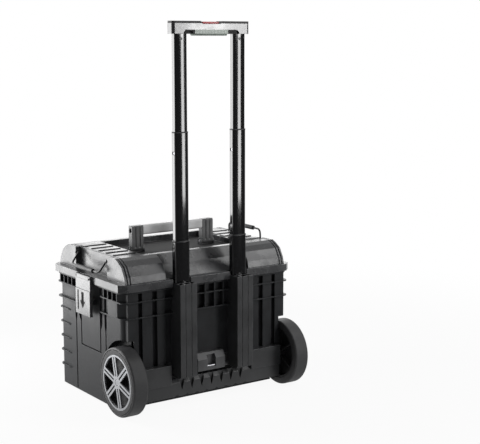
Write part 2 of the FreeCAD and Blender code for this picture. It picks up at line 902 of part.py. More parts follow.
def tube_core(side, width, depth, corner, low, high):
    body = new_body()
    sketch = new_sketch(body, "XY", low)
    draw_crowned(sketch, side * post_x, tube_y, width, depth)
    pad(body, sketch, size_of(high) - low)
    return round_edges(body, corner, runs_along(ALONG_Z))


def handle_channel(side):
    """Post on the rear wall: a pocket for the base tube behind three hollow ridges."""
    x = side * post_x
    fit = dim.sliding_gap
    body_rear = post_rear + 3.5
    parts = [box(x - post_half, x + post_half, body_rear, tub_rear, post_bottom, post_top)]
    ridges = (
        (-post_half, -post_half / 3 - 1.5), (-post_half / 3, post_half / 3), (post_half / 3 + 1.5, post_half)
    )
    for low, high in ridges:
        parts.append(box(x + low, x + high, post_rear, body_rear + 1, post_bottom + 4, post_top))
    pocket_rear = tube_y - base_depth / 2 - fit
    cuts = [
        box(x - base_width / 2 - fit, x + base_width / 2 + fit, pocket_rear, tub_rear + 1, base_bottom,
            post_top + 1)
    ]
    for low, high in ridges:
        cuts.append(
            box(x + low + 2.5, x + high - 2.5, post_rear + 3, pocket_rear - 2.5, post_bottom + 20,
                post_top + 1)
        )
    cuts.append(rod_x(axle_radius + AXLE_RELIEF, x - dim.post_width, x + dim.post_width, axle_y, axle_z))
    return node(cut(union(*parts), *cuts), f"handle_channel_{SIDE_NAMES[side]}")


def base_tube(side):
    solid = tube(side, base_width, base_depth, dim.tube_corner + stage_growth, base_bottom, base_top)
    return node(solid, f"base_tube_{SIDE_NAMES[side]}")


def collar(side, width, depth, corner, low, high):
    """Ring on top of a tube; it lets the next stage slide through."""
    lip = dim.collar_lip
    return cut(
        tube_core(side, width + 2 * lip, depth + 2 * lip, corner + lip, low, high),
        tube_core(side, width - 2 * dim.tube_wall, depth - 2 * dim.tube_wall, corner - dim.tube_wall,
                  low - 1, high + 1),
    )


def base_collar(side):
    solid = collar(side, base_width, base_depth, dim.tube_corner + stage_growth, base_top, base_collar_top)
    return node(solid, f"base_collar_{SIDE_NAMES[side]}")


def middle_tube(side):
    x = side * post_x
    corner = dim.tube_corner + stage_growth / 2
    solid = tube(side, middle_width, middle_depth, corner, middle_bottom, middle_collar_bottom)
    lock_hole = rod_x(dim.lock_pin_diameter / 2 + 0.5, x - middle_width, x, tube_y, lock_z)
    return node(cut(solid, lock_hole), f"middle_tube_{SIDE_NAMES[side]}")


def middle_collar(side):
    corner = dim.tube_corner + stage_growth / 2
    solid = collar(side, middle_width, middle_depth, corner, middle_collar_bottom, middle_collar_top)
    return node(solid, f"middle_collar_{SIDE_NAMES[side]}")


def middle_glides():
    corner = dim.tube_corner + stage_growth / 2
    rings = [
        tube(side, middle_width, middle_depth, corner, middle_bottom - dim.glide_height, middle_bottom)
        for side in (LEFT, RIGHT)
    ]
    return node(group(*rings), "middle_glides")


def grip_screw_places():
    return [(side * post_x, grip_bottom - 12) for side in (LEFT, RIGHT)]


GRIP_SCREW_RADIUS = 3.5


def upper_tube(side):
    x = side * post_x
    solid = tube(side, dim.upper_tube_width, dim.upper_tube_depth, dim.tube_corner, upper_bottom, grip_bottom)
    pin_hole = rod_x(dim.lock_pin_diameter / 2 + dim.running_gap, x - dim.upper_tube_width, x, tube_y, lock_z)
    screw_x, screw_z = grip_screw_places()[0 if side == LEFT else 1]
    screw_hole = rod_y(GRIP_SCREW_RADIUS, tube_y - dim.upper_tube_depth, tube_y, screw_x, screw_z)
    return node(cut(solid, pin_hole, screw_hole), f"upper_tube_{SIDE_NAMES[side]}")


def grip_screws():
    face = tube_y - dim.upper_tube_depth / 2
    screws = [
        rod_y(GRIP_SCREW_RADIUS, face + 0.1, face + dim.tube_wall, x, z)
        for x, z in grip_screw_places()
    ]
    return node(group(*screws), "grip_screws")


def spigot(side, low, high):
    """Plug that fits the inside of an upper tube."""
    inside = 2 * dim.tube_wall + 0.2
    return tube_core(
        side, dim.upper_tube_width - inside, dim.upper_tube_depth - inside, dim.tube_corner - dim.tube_wall,
        low, high,
    )


def button_notch(rear, front):
    """Notch across the top of the grip, with sloping ends."""
    half = dim.button_length / 2
    low = grip_top - dim.notch_depth
    slope = dim.notch_depth / 2
    outline = [
        (-half + slope, low), (half - slope, low),
        (half + slope, grip_top + PAST), (-half - slope, grip_top + PAST),
    ]
    return prism("XZ", outline, rear, front)


def grip_shell():
    """Hollow cross grip with the button's notch above and a spigot into each tube."""
    front = tube_y + dim.grip_depth / 2
    rear = tube_y - dim.grip_depth / 2
    block = rounded_block(-grip_half, grip_half, rear, front, grip_bottom, grip_top, 7)
    spigots = [spigot(side, grip_bottom - 22, grip_bottom + 1) for side in (LEFT, RIGHT)]
    wall = dim.grip_wall
    cavity = box(
        -post_x - 9, post_x + 9, tube_y - 6, tube_y + 6, grip_bottom + wall, grip_bottom + 17
    )
    gap = dim.button_gap
    pocket = box(
        -button_half - gap, button_half + gap, tube_y - dim.button_depth / 2 - gap,
        tube_y + dim.button_depth / 2 + gap, pocket_floor, grip_top,
    )
    stem_hole = box(-15.3, 15.3, tube_y - 4.3, tube_y + 4.3, grip_bottom + 10, grip_top)
    notch = button_notch(rear - PAST, front + PAST)
    wedges = []
    for side in (LEFT, RIGHT):
        outline = [(50, grip_bottom - 1), (58, grip_bottom + 7), (82, grip_bottom + 7), (86, grip_bottom - 1)]
        corners = [(side * across, up) for across, up in outline]
        wedges.append(prism("XZ", corners, rear - 1, rear + 7))
    rod_holes = [
        rod_z(
            dim.rod_diameter / 2 + dim.sliding_gap, grip_bottom - 30, grip_bottom + 10, side * post_x, tube_y
        )
        for side in (LEFT, RIGHT)
    ]
    solid = cut(union(block, *spigots), cavity, pocket, stem_hole, notch, *wedges, *rod_holes)
    return node(solid, "grip_shell")


def grip_pad():
    """Soft pad under the grip with ribs across it."""
    rear = tube_y - dim.grip_depth / 2
    front = tube_y + dim.grip_depth / 2
    ribs = [
        box(x - 1.5, x + 1.5, rear + 1, front - 1, grip_bottom - 4.5, grip_bottom - 2)
        for x in range(-45, 46, 6)
    ]
    plate = box(-48, 48, rear + 1, front - 1, grip_bottom - 2.5, grip_bottom)
    return node(union(plate, *ribs), "grip_pad")


def release_button():
    """Button that stands in the notch, and is level with the notch's floor when pressed."""
    top = grip_top - dim.notch_depth + dim.button_travel
    bottom = pocket_floor + dim.button_travel + dim.button_gap
    depth = dim.button_depth / 2
    cap = rounded_block(-button_half, button_half, tube_y - depth, tube_y + depth, bottom, top, 3)
    stem = box(-15, 15, tube_y - 4, tube_y + 4, bridge_top, bottom + PAST)
    return node(union(cap, stem), "release_button")


def release_bridge():
    bridge = box(-post_x - 5, post_x + 5, tube_y - 5, tube_y + 5, bridge_bottom, bridge_top)
    return node(bridge, "release_bridge")


def push_rods():
    rods = [
        rod_z(dim.rod_diameter / 2, lock_z + 15, bridge_bottom, side * post_x, tube_y)
        for side in (LEFT, RIGHT)
    ]
    return node(group(*rods), "push_rods")


def lock_block(side):
    """Plug in the foot of an upper tube that guides the lock pin and the push rod."""
    x = side * post_x
    block = spigot(side, upper_bottom, upper_bottom + 35)
    pin_bore = rod_x(
        dim.lock_pin_diameter / 2 + dim.running_gap, x - dim.upper_tube_width, x + 4, tube_y, lock_z
    )
    rod_bore = rod_z(dim.rod_diameter / 2 + dim.running_gap, lock_z + 8, upper_bottom + 40, x, tube_y)
    return node(cut(block, pin_bore, rod_bore), f"lock_block_{SIDE_NAMES[side]}")


def lock_pins():
    pins = []
    for side in (LEFT, RIGHT):
        face = side * post_x - dim.upper_tube_width / 2
        pins.append(rod_x(dim.lock_pin_diameter / 2, face + 0.1, side * post_x - 2, tube_y, lock_z))
    return node(group(*pins), "lock_pins")


# Rear catch and latch keepers

CATCH_BAR_RADIUS = 3


def rear_catch():
    """Block between the posts with a sloping top and a notch that the steel bar crosses."""
    half = dim.catch_width / 2
    rear = tub_rear - dim.catch_depth
    low = post_bottom + 1
    high = low + dim.catch_height
    profile = [(rear, low), (tub_rear, low), (tub_rear, high), (rear + 9, high), (rear, high - 16)]
    notch = box(-13, 13, rear - 1, rear + 12, low + 8, high - 6)
    bar_hole = rod_x(CATCH_BAR_RADIUS, -20, 20, rear + 5, low + 10)
    return node(cut(prism("YZ", profile, -half, half), notch, bar_hole, axle_tunnel(0)), "rear_catch")


def catch_bar():
    rear = tub_rear - dim.catch_depth
    return node(rod_x(CATCH_BAR_RADIUS, -20, 20, rear + 5, post_bottom + 11), "catch_bar")


def latch_keeper(side):
    """Striker bar on the end wall, just clear of the latch's nose."""
    x0, x1 = (tub_end, tub_end + 8) if side == RIGHT else (-tub_end - 8, -tub_end)
    low = flange_bottom - 54
    outline = [(x0, low), (x1, low), (x1, low + 10), (x0, low + 16)]
    if side == LEFT:
        outline = [(x1, low), (x0, low), (x0, low + 10), (x1, low + 16)]
    return node(prism("XZ", outline, middle_y - 30, middle_y + 30), f"latch_keeper_{SIDE_NAMES[side]}")


# Lid


def lid_profile(inset):
    """Domed outline of the lid across the case, drawn in by the inset on its outside."""
    rise = lid_top - rim_top
    steps = ((11.5, 0.03), (16, 0.32), (22, 0.49), (30, 0.71), (48.5, 0.9), (62.5, 1))
    rear = [(rim_rear + across + inset, rim_top - 2 + rise * up - inset + 2 * up) for across, up in steps]
    front = [(2 * middle_y - y, z) for y, z in reversed(rear)]
    floor = rim_top - dim.wall - inset
    start = [(2 * middle_y - rear[0][0], floor), (rear[0][0], floor)]
    return start + rear + front


def lid_dome(inset, start, end):
    return prism("YZ", lid_profile(inset), start, end)


def handle_notch(growth):
    """Space behind the slanted wall of the lid, where the handle tubes pass."""
    half = dim.lid_notch_width / 2 + growth
    shift = growth * 1.3
    outline = [
        (rim_rear - 10, rim_top - growth), (rim_rear + 20 + shift, rim_top - growth),
        (rim_rear + 48 + shift, rim_top + 31), (rim_rear + 67.5 + shift, lid_top + 10),
        (rim_rear - 10, lid_top + 10),
    ]
    return prism("YZ", outline, -half, half)


def end_recess(side, growth):
    half = dim.end_recess_width / 2 + growth
    inner = lid_end - dim.end_recess_depth - growth
    return side_box(
        side, inner, lid_end + 30, middle_y - half, middle_y + half, rim_top - growth, lid_top + 20
    )


def handle_recess(growth):
    half = dim.handle_recess_length / 2 + growth
    return box(
        -half, half, rim_rear + 77.5 - growth, rim_front - 77.5 + growth, recess_floor - growth, lid_top + 20
    )


def chamfered_block(half_x, y0, y1, z0, z1, chamfer):
    corners = [
        (-half_x + chamfer, y0), (half_x - chamfer, y0), (half_x, y0 + chamfer), (half_x, y1 - chamfer),
        (half_x - chamfer, y1), (-half_x + chamfer, y1), (-half_x, y1 - chamfer), (-half_x, y0 + chamfer),
    ]
    return prism("XY", corners, z0, z1)


def lid_seal_ring(spread, low, high):
    """Ring that follows the top of the tub's flange, widened by the spread."""
    half_x = (tub_end + flange_end) / 2
    front = (tub_front + flange_front) / 2
    rear = tub_rear + 12
    half = dim.seal_width / 2 + spread
    return cut(
        rounded_block(-half_x - half, half_x + half, rear - half, front + half, low, high, 14 + half),
        rounded_block(-half_x + half, half_x - half, rear + half, front - half, low - 1, high + 1, 14 - half),
    )


def lid_seal():
    ring = lid_seal_ring(0, lid_seat - 0.1, lid_seat + dim.seal_height)
    return node(ring, "lid_seal")


def lid_top_ribs():
    """Low ribs along the case on both ends of the lid's top."""
    ribs = []
    for side in (LEFT, RIGHT):
        for step in range(-2, 3):
            y = middle_y + step * dim.lid_rib_pitch
            outer = lid_end - dim.end_recess_depth - 2
            inner = dim.handle_recess_length / 2 + 6
            ribs.append(
                side_box(side, inner, outer, y - 10, y + 10, lid_top - 2, lid_top + dim.lid_rib_height)
            )
    return ribs


def end_bands():
    """Two grooves that follow the dome near each end."""
    bands = []
    for side in (LEFT, RIGHT):
        for near in (233, 241):
            low, high = (near, near + 4) if side == RIGHT else (-near - 4, -near)
            bands.append(cut(lid_dome(-2, low, high), lid_dome(2, low - 1, high + 1)))
    return bands


def latch_lugs(side):
    """Lugs on the rim that hold the latch pin on both sides of the latch."""
    lugs = []
    half = dim.latch_width / 2
    for direction in (-1, 1):
        near = middle_y + direction * (half - 8)
        far = middle_y + direction * half
        y0, y1 = (near, far) if direction == 1 else (far, near)
        top = latch_pin_z + latch_knuckle_radius
        block = side_box(side, rim_end - 3, latch_x, y0, y1, latch_pin_z - latch_knuckle_radius, top)
        lugs += [block, rod_y(latch_knuckle_radius, y0, y1, side * latch_x, latch_pin_z)]
    return lugs


def lid_shell():
    wall = dim.wall
    rim = chamfered_block(rim_end, rim_rear, rim_front, rim_bottom, rim_top, dim.rim_chamfer)
    outside = union(rim, lid_dome(0, -lid_end, lid_end), *lid_top_ribs())
    recesses = [end_recess(side, 0) for side in (LEFT, RIGHT)]
    outside = cut(outside, handle_notch(0), handle_recess(0), *recesses, *end_bands())
    grown = [end_recess(side, wall) for side in (LEFT, RIGHT)]
    inside = cut(
        lid_dome(wall + 2, -lid_end + 22, lid_end - 22), handle_notch(wall), handle_recess(wall), *grown
    )
    skirt_space = chamfered_block(
        rim_end - wall, rim_rear + wall, rim_front - wall, rim_bottom - 1, lid_seat, dim.rim_chamfer
    )
    tube_gaps = [
        side_box(side, post_x - post_half - 2, post_x + post_half + 2, rim_rear - 10, tub_rear + 2.5,
                 rim_bottom - 2, rim_top + 30)
        for side in (LEFT, RIGHT)
    ]
    knuckles = []
    bores = []
    for x in hinge_stations():
        low, high = x - LID_KNUCKLE, x + LID_KNUCKLE
        knuckles.append(rod_x(hinge_radius, low, high, hinge_y, hinge_z))
        knuckles.append(box(low, high, hinge_y + 1, rim_front, hinge_z, rim_bottom + 2))
        bores.append(rod_x(dim.hinge_pin_diameter / 2 + dim.running_gap, low - 1, high + 1, hinge_y, hinge_z))
    lugs = [lug for side in (LEFT, RIGHT) for lug in latch_lugs(side)]
    for side in (LEFT, RIGHT):
        half = dim.latch_width / 2 + 1
        bores.append(rod_y(latch_pin_radius, middle_y - half, middle_y + half, side * latch_x, latch_pin_z))
        bail_half = dim.end_recess_width / 2 + 2.2
        bores.append(
            rod_y(dim.bail_wire_diameter / 2 + dim.running_gap, middle_y - bail_half, middle_y + bail_half,
                  side * bail_x, bail_z)
        )
    seal_groove = lid_seal_ring(0.1, lid_seat - 1, lid_seat + dim.seal_height)
    hollow = cut(outside, inside, skirt_space, *tube_gaps, seal_groove)
    return node(cut(union(hollow, *knuckles, *lugs), *bores), "lid_shell")


def bail_ears():
    """Ears on the side walls of the end recesses that the bail wires turn in."""
    ears = []
    radius = dim.bail_wire_diameter / 2
    for side in (LEFT, RIGHT):
        for direction in (-1, 1):
            wall_y = middle_y + direction * dim.end_recess_width / 2
            tip_y = wall_y - direction * 3
            y0, y1 = (tip_y, wall_y) if direction == 1 else (wall_y, tip_y)
            ear = union(
                rod_y(radius + 4, y0, y1, side * bail_x, bail_z),
                side_box(
                    side, lid_end - dim.end_recess_depth, bail_x, y0, y1,
                    bail_z - radius - 4, bail_z + radius + 4,
                ),
            )
            ears.append(cut(ear, rod_y(radius + dim.running_gap, y0 - 1, y1 + 1, side * bail_x, bail_z)))
    return node(group(*ears), "bail_ears")


def handle_pivot(side):
    """Pair of lugs on the floor of the lid's recess that hold one carry-handle arm."""
    depth = dim.carry_arm_depth / 2
    gap = dim.sliding_gap
    lugs = []
    for near, far in ((carry_half + gap, carry_half + gap + 4),
                      (carry_half - dim.carry_arm_width - gap - 4, carry_half - dim.carry_arm_width - gap)):
        lug = union(
            side_box(side, near, far, middle_y - depth, middle_y + depth, recess_floor, carry_pivot_z),
            side_rod(side, depth - 1, near, far, middle_y, carry_pivot_z),
        )
        bore = dim.carry_pin_diameter / 2 + dim.running_gap
        lugs.append(cut(lug, side_rod(side, bore, near - 1, far + 1, middle_y, carry_pivot_z)))
    return node(group(*lugs), f"handle_pivot_{SIDE_NAMES[side]}")


# Carry handle


def carry_arm(side):
    """Upright arm with a rounded foot, three ridges on each face and a round socket in its end."""
    depth = dim.carry_arm_depth / 2
    outer = carry_half
    inner = carry_half - dim.carry_arm_width
    top = carry_pivot_z + dim.carry_height
    parts = [
        side_box(side, inner, outer, middle_y - depth + 1.5, middle_y + depth - 1.5, carry_pivot_z, top),
        side_rod(side, depth, inner, outer, middle_y, carry_pivot_z),
    ]
    ridge = (dim.carry_arm_width - 8) / 3
    for step in range(3):
        near = inner + step * (ridge + 4)
        parts.append(
            side_box(side, near, near + ridge, middle_y - depth, middle_y + depth, carry_pivot_z, top - 3)
        )
    socket = side_rod(side, 6.5, outer - 6, outer + 1, middle_y, top - dim.carry_bar_height / 2)
    pin_bore = side_rod(side, dim.carry_pin_diameter / 2, inner - 1, outer + 1, middle_y, carry_pivot_z)
    return node(cut(union(*parts), socket, pin_bore), f"carry_arm_{SIDE_NAMES[side]}")


def carry_bar():
    """Bar between the arms with rounded long edges."""
    depth = dim.carry_arm_depth / 2
    half = carry_half - dim.carry_arm_width
    top = carry_pivot_z + dim.carry_height
    bar = rounded_block(
        -half, half, middle_y - depth, middle_y + depth, top - dim.carry_bar_height, top, 5, ALONG_X
    )
    return node(bar, "carry_bar")


def carry_pins():
    pins = []
    for side in (LEFT, RIGHT):
        reach = dim.sliding_gap + 4
        pins.append(
            side_rod(side, dim.carry_pin_diameter / 2,
                     carry_half - dim.carry_arm_width - reach, carry_half + reach,
                     middle_y, carry_pivot_z)
        )
    return node(group(*pins), "carry_pins")


# Bails

BAIL_HANG = (-22 / 36.4, -29 / 36.4)
BAIL_STAND = (-0.05, 0.99875)


def bail_way(side):
    """Direction from the pivot to the bar in the XZ plane: the left bail hangs, the right one stands."""
    return BAIL_HANG if side == LEFT else BAIL_STAND


def bail_wire(side):
    """Bent wire: pivot ends, two legs and the bar, with round bends."""
    across, up = bail_way(side)
    pivot = FreeCAD.Vector(side * bail_x.value, middle_y.value, bail_z.value)
    way = FreeCAD.Vector(across, 0, up)
    half = dim.bail_width.value / 2
    end = dim.end_recess_width.value / 2 + 2
    leg = dim.bail_leg.value
    bend = dim.bail_bend.value
    small = dim.bail_wire_diameter.value

    def spot(aside, along):
        return pivot + ALONG_Y * aside + way * along

    diagonal = 1 - 0.5 ** 0.5
    edges = []
    for direction in (-1, 1):
        tip = spot(direction * end, 0)
        turn_start = spot(direction * (half + small), 0)
        turn_middle = spot(direction * (half + small * diagonal), small * diagonal)
        turn_end = spot(direction * half, small)
        bend_start = spot(direction * half, leg - bend)
        bend_middle = spot(direction * (half - bend * diagonal), leg - bend * diagonal)
        bend_end = spot(direction * (half - bend), leg)
        half_path = [
            Part.LineSegment(tip, turn_start).toShape(),
            Part.Arc(turn_start, turn_middle, turn_end).toShape(),
            Part.LineSegment(turn_end, bend_start).toShape(),
            Part.Arc(bend_start, bend_middle, bend_end).toShape(),
        ]
        edges.append(half_path)
    bar = Part.LineSegment(spot(bend - half, leg), spot(half - bend, leg)).toShape()
    path = Part.Wire(Part.__sortEdges__(edges[0] + [bar] + edges[1]))
    section = Part.Wire(Part.makeCircle(small / 2, spot(-end, 0), ALONG_Y))
    wire = doc.addObject("Part::Feature", "wire")
    wire.Shape = path.makePipeShell([section], True, False)
    wire.Placement = FreeCAD.Placement()
    return node(wire, f"bail_wire_{SIDE_NAMES[side]}")


def bail_sleeve(side):
    """Grip sleeve on the bar of a bail."""
    across, up = bail_way(side)
    x = side * bail_x + across * dim.bail_leg
    z = bail_z + up * dim.bail_leg
    half = dim.bail_sleeve_length / 2
    tube_solid = cut(
        rod_y(dim.bail_sleeve_diameter / 2, middle_y - half, middle_y + half, x, z),
        rod_y(dim.bail_wire_diameter / 2, middle_y - half - 1, middle_y + half + 1, x, z),
    )
    return node(tube_solid, f"bail_sleeve_{SIDE_NAMES[side]}")


# Latches


def latch_flap(side):
    """Flap that hangs from the rim: knuckle, middle piece and lever with its slot and arrow."""
    half = dim.latch_width / 2
    knuckle_half = half - 8 - dim.sliding_gap
    inner = rim_end + 1
    outer = inner + dim.latch_thickness
    top = latch_pin_z - latch_knuckle_radius - 0.6
    bottom = rim_top - dim.latch_length
    lever_top = rim_bottom - 20
    y0, y1 = middle_y - half, middle_y + half
    parts = [
        side_box(side, inner, outer - 1.5, y0, y1, lever_top - 1, top),
        side_box(side, inner, outer, y0, y1, bottom, lever_top - 1.2),
        side_box(side, inner, outer - 4, y0 + 2, y1 - 2, bottom + 2, top - 2),
        rod_y(
            latch_knuckle_radius, middle_y - knuckle_half, middle_y + knuckle_half,
            side * latch_x, latch_pin_z,
        ),
        side_box(side, latch_x - latch_knuckle_radius, latch_x + latch_knuckle_radius,
                 middle_y - knuckle_half,
                 middle_y + knuckle_half, top - 2, latch_pin_z),
        side_box(
            side, flange_end + 0.8, inner + 1, middle_y - 28, middle_y + 28,
            flange_bottom - 62, flange_bottom - 56,
        ),
    ]
    face = outer - 1
    arrow_middle = (bottom + lever_top) / 2
    arrow = [(-3, 18), (3, 18), (3, -6), (8, -6), (0, -18), (-8, -6), (-3, -6)]
    start, end = (face, outer + 1) if side == RIGHT else (-outer - 1, -face)
    cuts = [
        prism("YZ", [(middle_y + across, arrow_middle + up) for across, up in arrow], start, end),
        side_box(
            side, outer - 2, outer + 1, middle_y + 24, middle_y + 28, arrow_middle - 24, arrow_middle + 24
        ),
        rod_y(latch_pin_radius + dim.running_gap, y0, y1, side * latch_x, latch_pin_z),
    ]
    return node(cut(union(*parts), *cuts), f"latch_flap_{SIDE_NAMES[side]}")


def latch_pin(side):
    half = dim.latch_width / 2
    pin = rod_y(latch_pin_radius, middle_y - half, middle_y + half, side * latch_x, latch_pin_z)
    return node(pin, f"latch_pin_{SIDE_NAMES[side]}")


# Assembly

SINGLE_PIECES = (
    tub_shell, hinge_pins, front_feet, axle_carrier, body_screws, axle, axle_caps, rear_catch, catch_bar,
    lid_shell, lid_seal, bail_ears, carry_bar, carry_pins, middle_glides, grip_shell, grip_pad, grip_screws,
    release_button, release_bridge, push_rods, lock_pins,
)
PAIRED_PIECES = (
    handle_channel, base_tube, base_collar, middle_tube, middle_collar, upper_tube, lock_block, latch_keeper,
    handle_pivot, carry_arm, bail_wire, bail_sleeve, latch_flap, latch_pin, tyre, hub, trim, bush,
)


def check_model():
    """Stop if any object failed or any piece is empty or broken."""
    for item in doc.Objects:
        if "Invalid" in item.State or "Error" in item.State:
            raise RuntimeError(f"{item.Name} ({item.Label}) failed: {item.State}")
    for item in nodes:
        if item.Shape.isNull() or not item.Shape.isValid() or not item.Shape.Solids:
            raise RuntimeError(f"{item.Label} has no valid solid")


def write_pieces():
    os.makedirs("parts", exist_ok=True)
    for item in nodes:
        item.Shape.exportStep(f"parts/{item.Label}.step")
        print(item.Label, len(item.Shape.Solids), "solids", round(item.Shape.Volume / 1000, 2), "cm3")


for make in SINGLE_PIECES:
    make()
for make in PAIRED_PIECES:
    for side in (LEFT, RIGHT):
        make(side)
doc.recompute()
check_model()
write_pieces()
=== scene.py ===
# %% [markdown]
# # A rolling toolbox in its studio
# The toolbox is a black moulded case on two wheels, with a three-stage pull handle on its rear wall.
# Its solids were drawn in CAD and packed as a frame: each one is a mesh that already sits where it
# belongs. A scene could be modelled again from nothing, but
# then the looks and the mechanism would drift apart. So this lesson loads the frame first, and only
# adds finishes, softened edges, small details and light around it.

# %% Load the imported solids
import json
import math

import bmesh
import bpy
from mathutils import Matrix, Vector


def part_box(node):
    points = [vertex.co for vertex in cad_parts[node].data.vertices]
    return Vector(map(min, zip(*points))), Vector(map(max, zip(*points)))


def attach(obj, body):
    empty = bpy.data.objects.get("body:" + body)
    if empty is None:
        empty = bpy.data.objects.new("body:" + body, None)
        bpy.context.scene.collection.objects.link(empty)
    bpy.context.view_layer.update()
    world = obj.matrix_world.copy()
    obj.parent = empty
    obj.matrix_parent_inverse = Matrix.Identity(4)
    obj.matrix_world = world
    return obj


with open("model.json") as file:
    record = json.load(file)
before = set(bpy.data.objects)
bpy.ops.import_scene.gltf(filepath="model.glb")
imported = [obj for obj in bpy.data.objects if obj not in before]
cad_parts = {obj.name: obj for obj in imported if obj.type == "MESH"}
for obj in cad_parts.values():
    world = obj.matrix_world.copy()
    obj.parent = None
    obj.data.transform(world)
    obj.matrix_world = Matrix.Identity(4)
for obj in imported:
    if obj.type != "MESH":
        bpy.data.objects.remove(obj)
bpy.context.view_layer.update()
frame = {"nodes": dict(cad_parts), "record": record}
solids = frame["nodes"]

# %% [markdown]
# ## Camera
# The photograph looks down a little at the rear left corner of the case, from about three metres
# away. The straight edges of the case and the ellipses of the wheels give the angles, and a long lens
# keeps the upright edges nearly parallel. The camera could be aimed with a constraint, but three plain
# values (place, turn and tilt) are easier to read and to change.

# %% Set the camera
CAMERA_PLACE = Vector((-1.6305, -2.6040, 0.9488))
CAMERA_TURN = math.radians(-35.18)
CAMERA_TILT = math.radians(-9.06)
LENS_MM = 85.71
SENSOR_MM = 36.0
CASE_MIDDLE = Vector((0, 0, 0.4))

camera_data = bpy.data.cameras.new("camera")
camera_data.lens = LENS_MM
camera_data.sensor_width = SENSOR_MM
camera = bpy.data.objects.new("camera", camera_data)
camera.location = CAMERA_PLACE
camera.rotation_euler = (math.pi / 2 + CAMERA_TILT, 0, CAMERA_TURN)
scene = bpy.context.scene
scene.collection.objects.link(camera)
scene.camera = camera
scene.view_settings.view_transform = "Standard"
print("camera", round((CAMERA_PLACE - CASE_MIDDLE).length, 2), "m from the case")

# %% [markdown]
# ## Studio
# A black object is lit by what it reflects. The studio is white in front of the camera, and the half of
# the room behind the camera stays dim, which keeps the rear wall of the case dark. The backdrop could be
# a curved sheet of mesh, but a world that camera rays see as plain white needs no shape and never runs
# out at the edge of the picture. Reflections see the same white on the backdrop's side.

# %% Node helpers
def add_node(tree, kind, **settings):
    made = tree.nodes.new(kind)
    for name, value in settings.items():
        setattr(made, name, value)
    return made


def feed(tree, target, source):
    """Set a socket to a plain value, or link it to another socket."""
    if isinstance(source, bpy.types.NodeSocket):
        tree.links.new(source, target)
    else:
        target.default_value = source


def calculate(tree, operation, *values):
    made = add_node(tree, "ShaderNodeMath", operation=operation)
    for socket, value in zip(made.inputs, values):
        feed(tree, socket, value)
    return made.outputs["Value"]


def remap(tree, value, low, high, to_low, to_high):
    """Stretch a value from one range to another, smoothly and without going past the ends."""
    made = add_node(tree, "ShaderNodeMapRange", interpolation_type="SMOOTHSTEP")
    for name, number in (("From Min", low), ("From Max", high), ("To Min", to_low), ("To Max", to_high)):
        made.inputs[name].default_value = number
    feed(tree, made.inputs["Value"], value)
    return made.outputs["Result"]


def mix_colour(tree, amount, first, second):
    made = add_node(tree, "ShaderNodeMix", data_type="RGBA")
    feed(tree, made.inputs["Factor"], amount)
    feed(tree, made.inputs["A"], first if not isinstance(first, tuple) else (*first, 1))
    feed(tree, made.inputs["B"], second if not isinstance(second, tuple) else (*second, 1))
    return made.outputs["Result"]


def seen_directly(tree):
    """Two masks: rays from the camera or through clear things, and rays that are reflections."""
    path = add_node(tree, "ShaderNodeLightPath")
    return calculate(
        tree, "MAXIMUM", path.outputs["Is Camera Ray"], path.outputs["Is Transmission Ray"]
    ), path.outputs["Is Glossy Ray"]


print("node helpers ready")

# %% World
ROOM_LIGHT = 0.22
DIM_SIDE = 0.06
BACKDROP_RISE = (-0.15, 0.45)

world = bpy.data.worlds.new("studio")
world.use_nodes = True
scene.world = world
tree = world.node_tree
backdrop = tree.nodes["Background"]
backdrop.inputs["Color"].default_value = (1, 1, 1, 1)
direct, glossy = seen_directly(tree)
direction = add_node(tree, "ShaderNodeTexCoord").outputs["Generated"]
split = add_node(tree, "ShaderNodeSeparateXYZ")
tree.links.new(direction, split.inputs["Vector"])
bright_half = remap(tree, split.outputs["Y"], *BACKDROP_RISE, DIM_SIDE, 1.0)
reflected = calculate(tree, "MULTIPLY", glossy, bright_half)
diffuse = calculate(tree, "MULTIPLY", calculate(tree, "SUBTRACT", 1.0, glossy), ROOM_LIGHT)
either = calculate(tree, "ADD", reflected, diffuse)
tree.links.new(calculate(tree, "MAXIMUM", direct, either), backdrop.inputs["Strength"])
print("world light", ROOM_LIGHT, "for diffuse rays")

# %% [markdown]
# ## Floor
# The case stands on white paper. Paper lit by the lamps alone would look grey, or need so much light that
# the black case would wash out. So the paper glows plain white for the camera and in reflections, and near
# the case it lets a small share of the real light through, which keeps the shadow.

# %% Floor sheet
FLOOR_HALF = 9.0

floor_mesh = bpy.data.meshes.new("floor")
corners = [(-FLOOR_HALF, -FLOOR_HALF, 0), (FLOOR_HALF, -FLOOR_HALF, 0),
           (FLOOR_HALF, FLOOR_HALF, 0), (-FLOOR_HALF, FLOOR_HALF, 0)]
floor_mesh.from_pydata(corners, [], [(0, 1, 2, 3)])
floor = bpy.data.objects.new("floor", floor_mesh)
scene.collection.objects.link(floor)
print("floor", 2 * FLOOR_HALF, "m wide")

# %% Floor paper
FLOOR_WHITE = 0.86
SHADOW_REACH = (0.7, 2.0)
SHADOW_SHARE = 0.07
PAPER_RISE = (-1.2, 0.6)

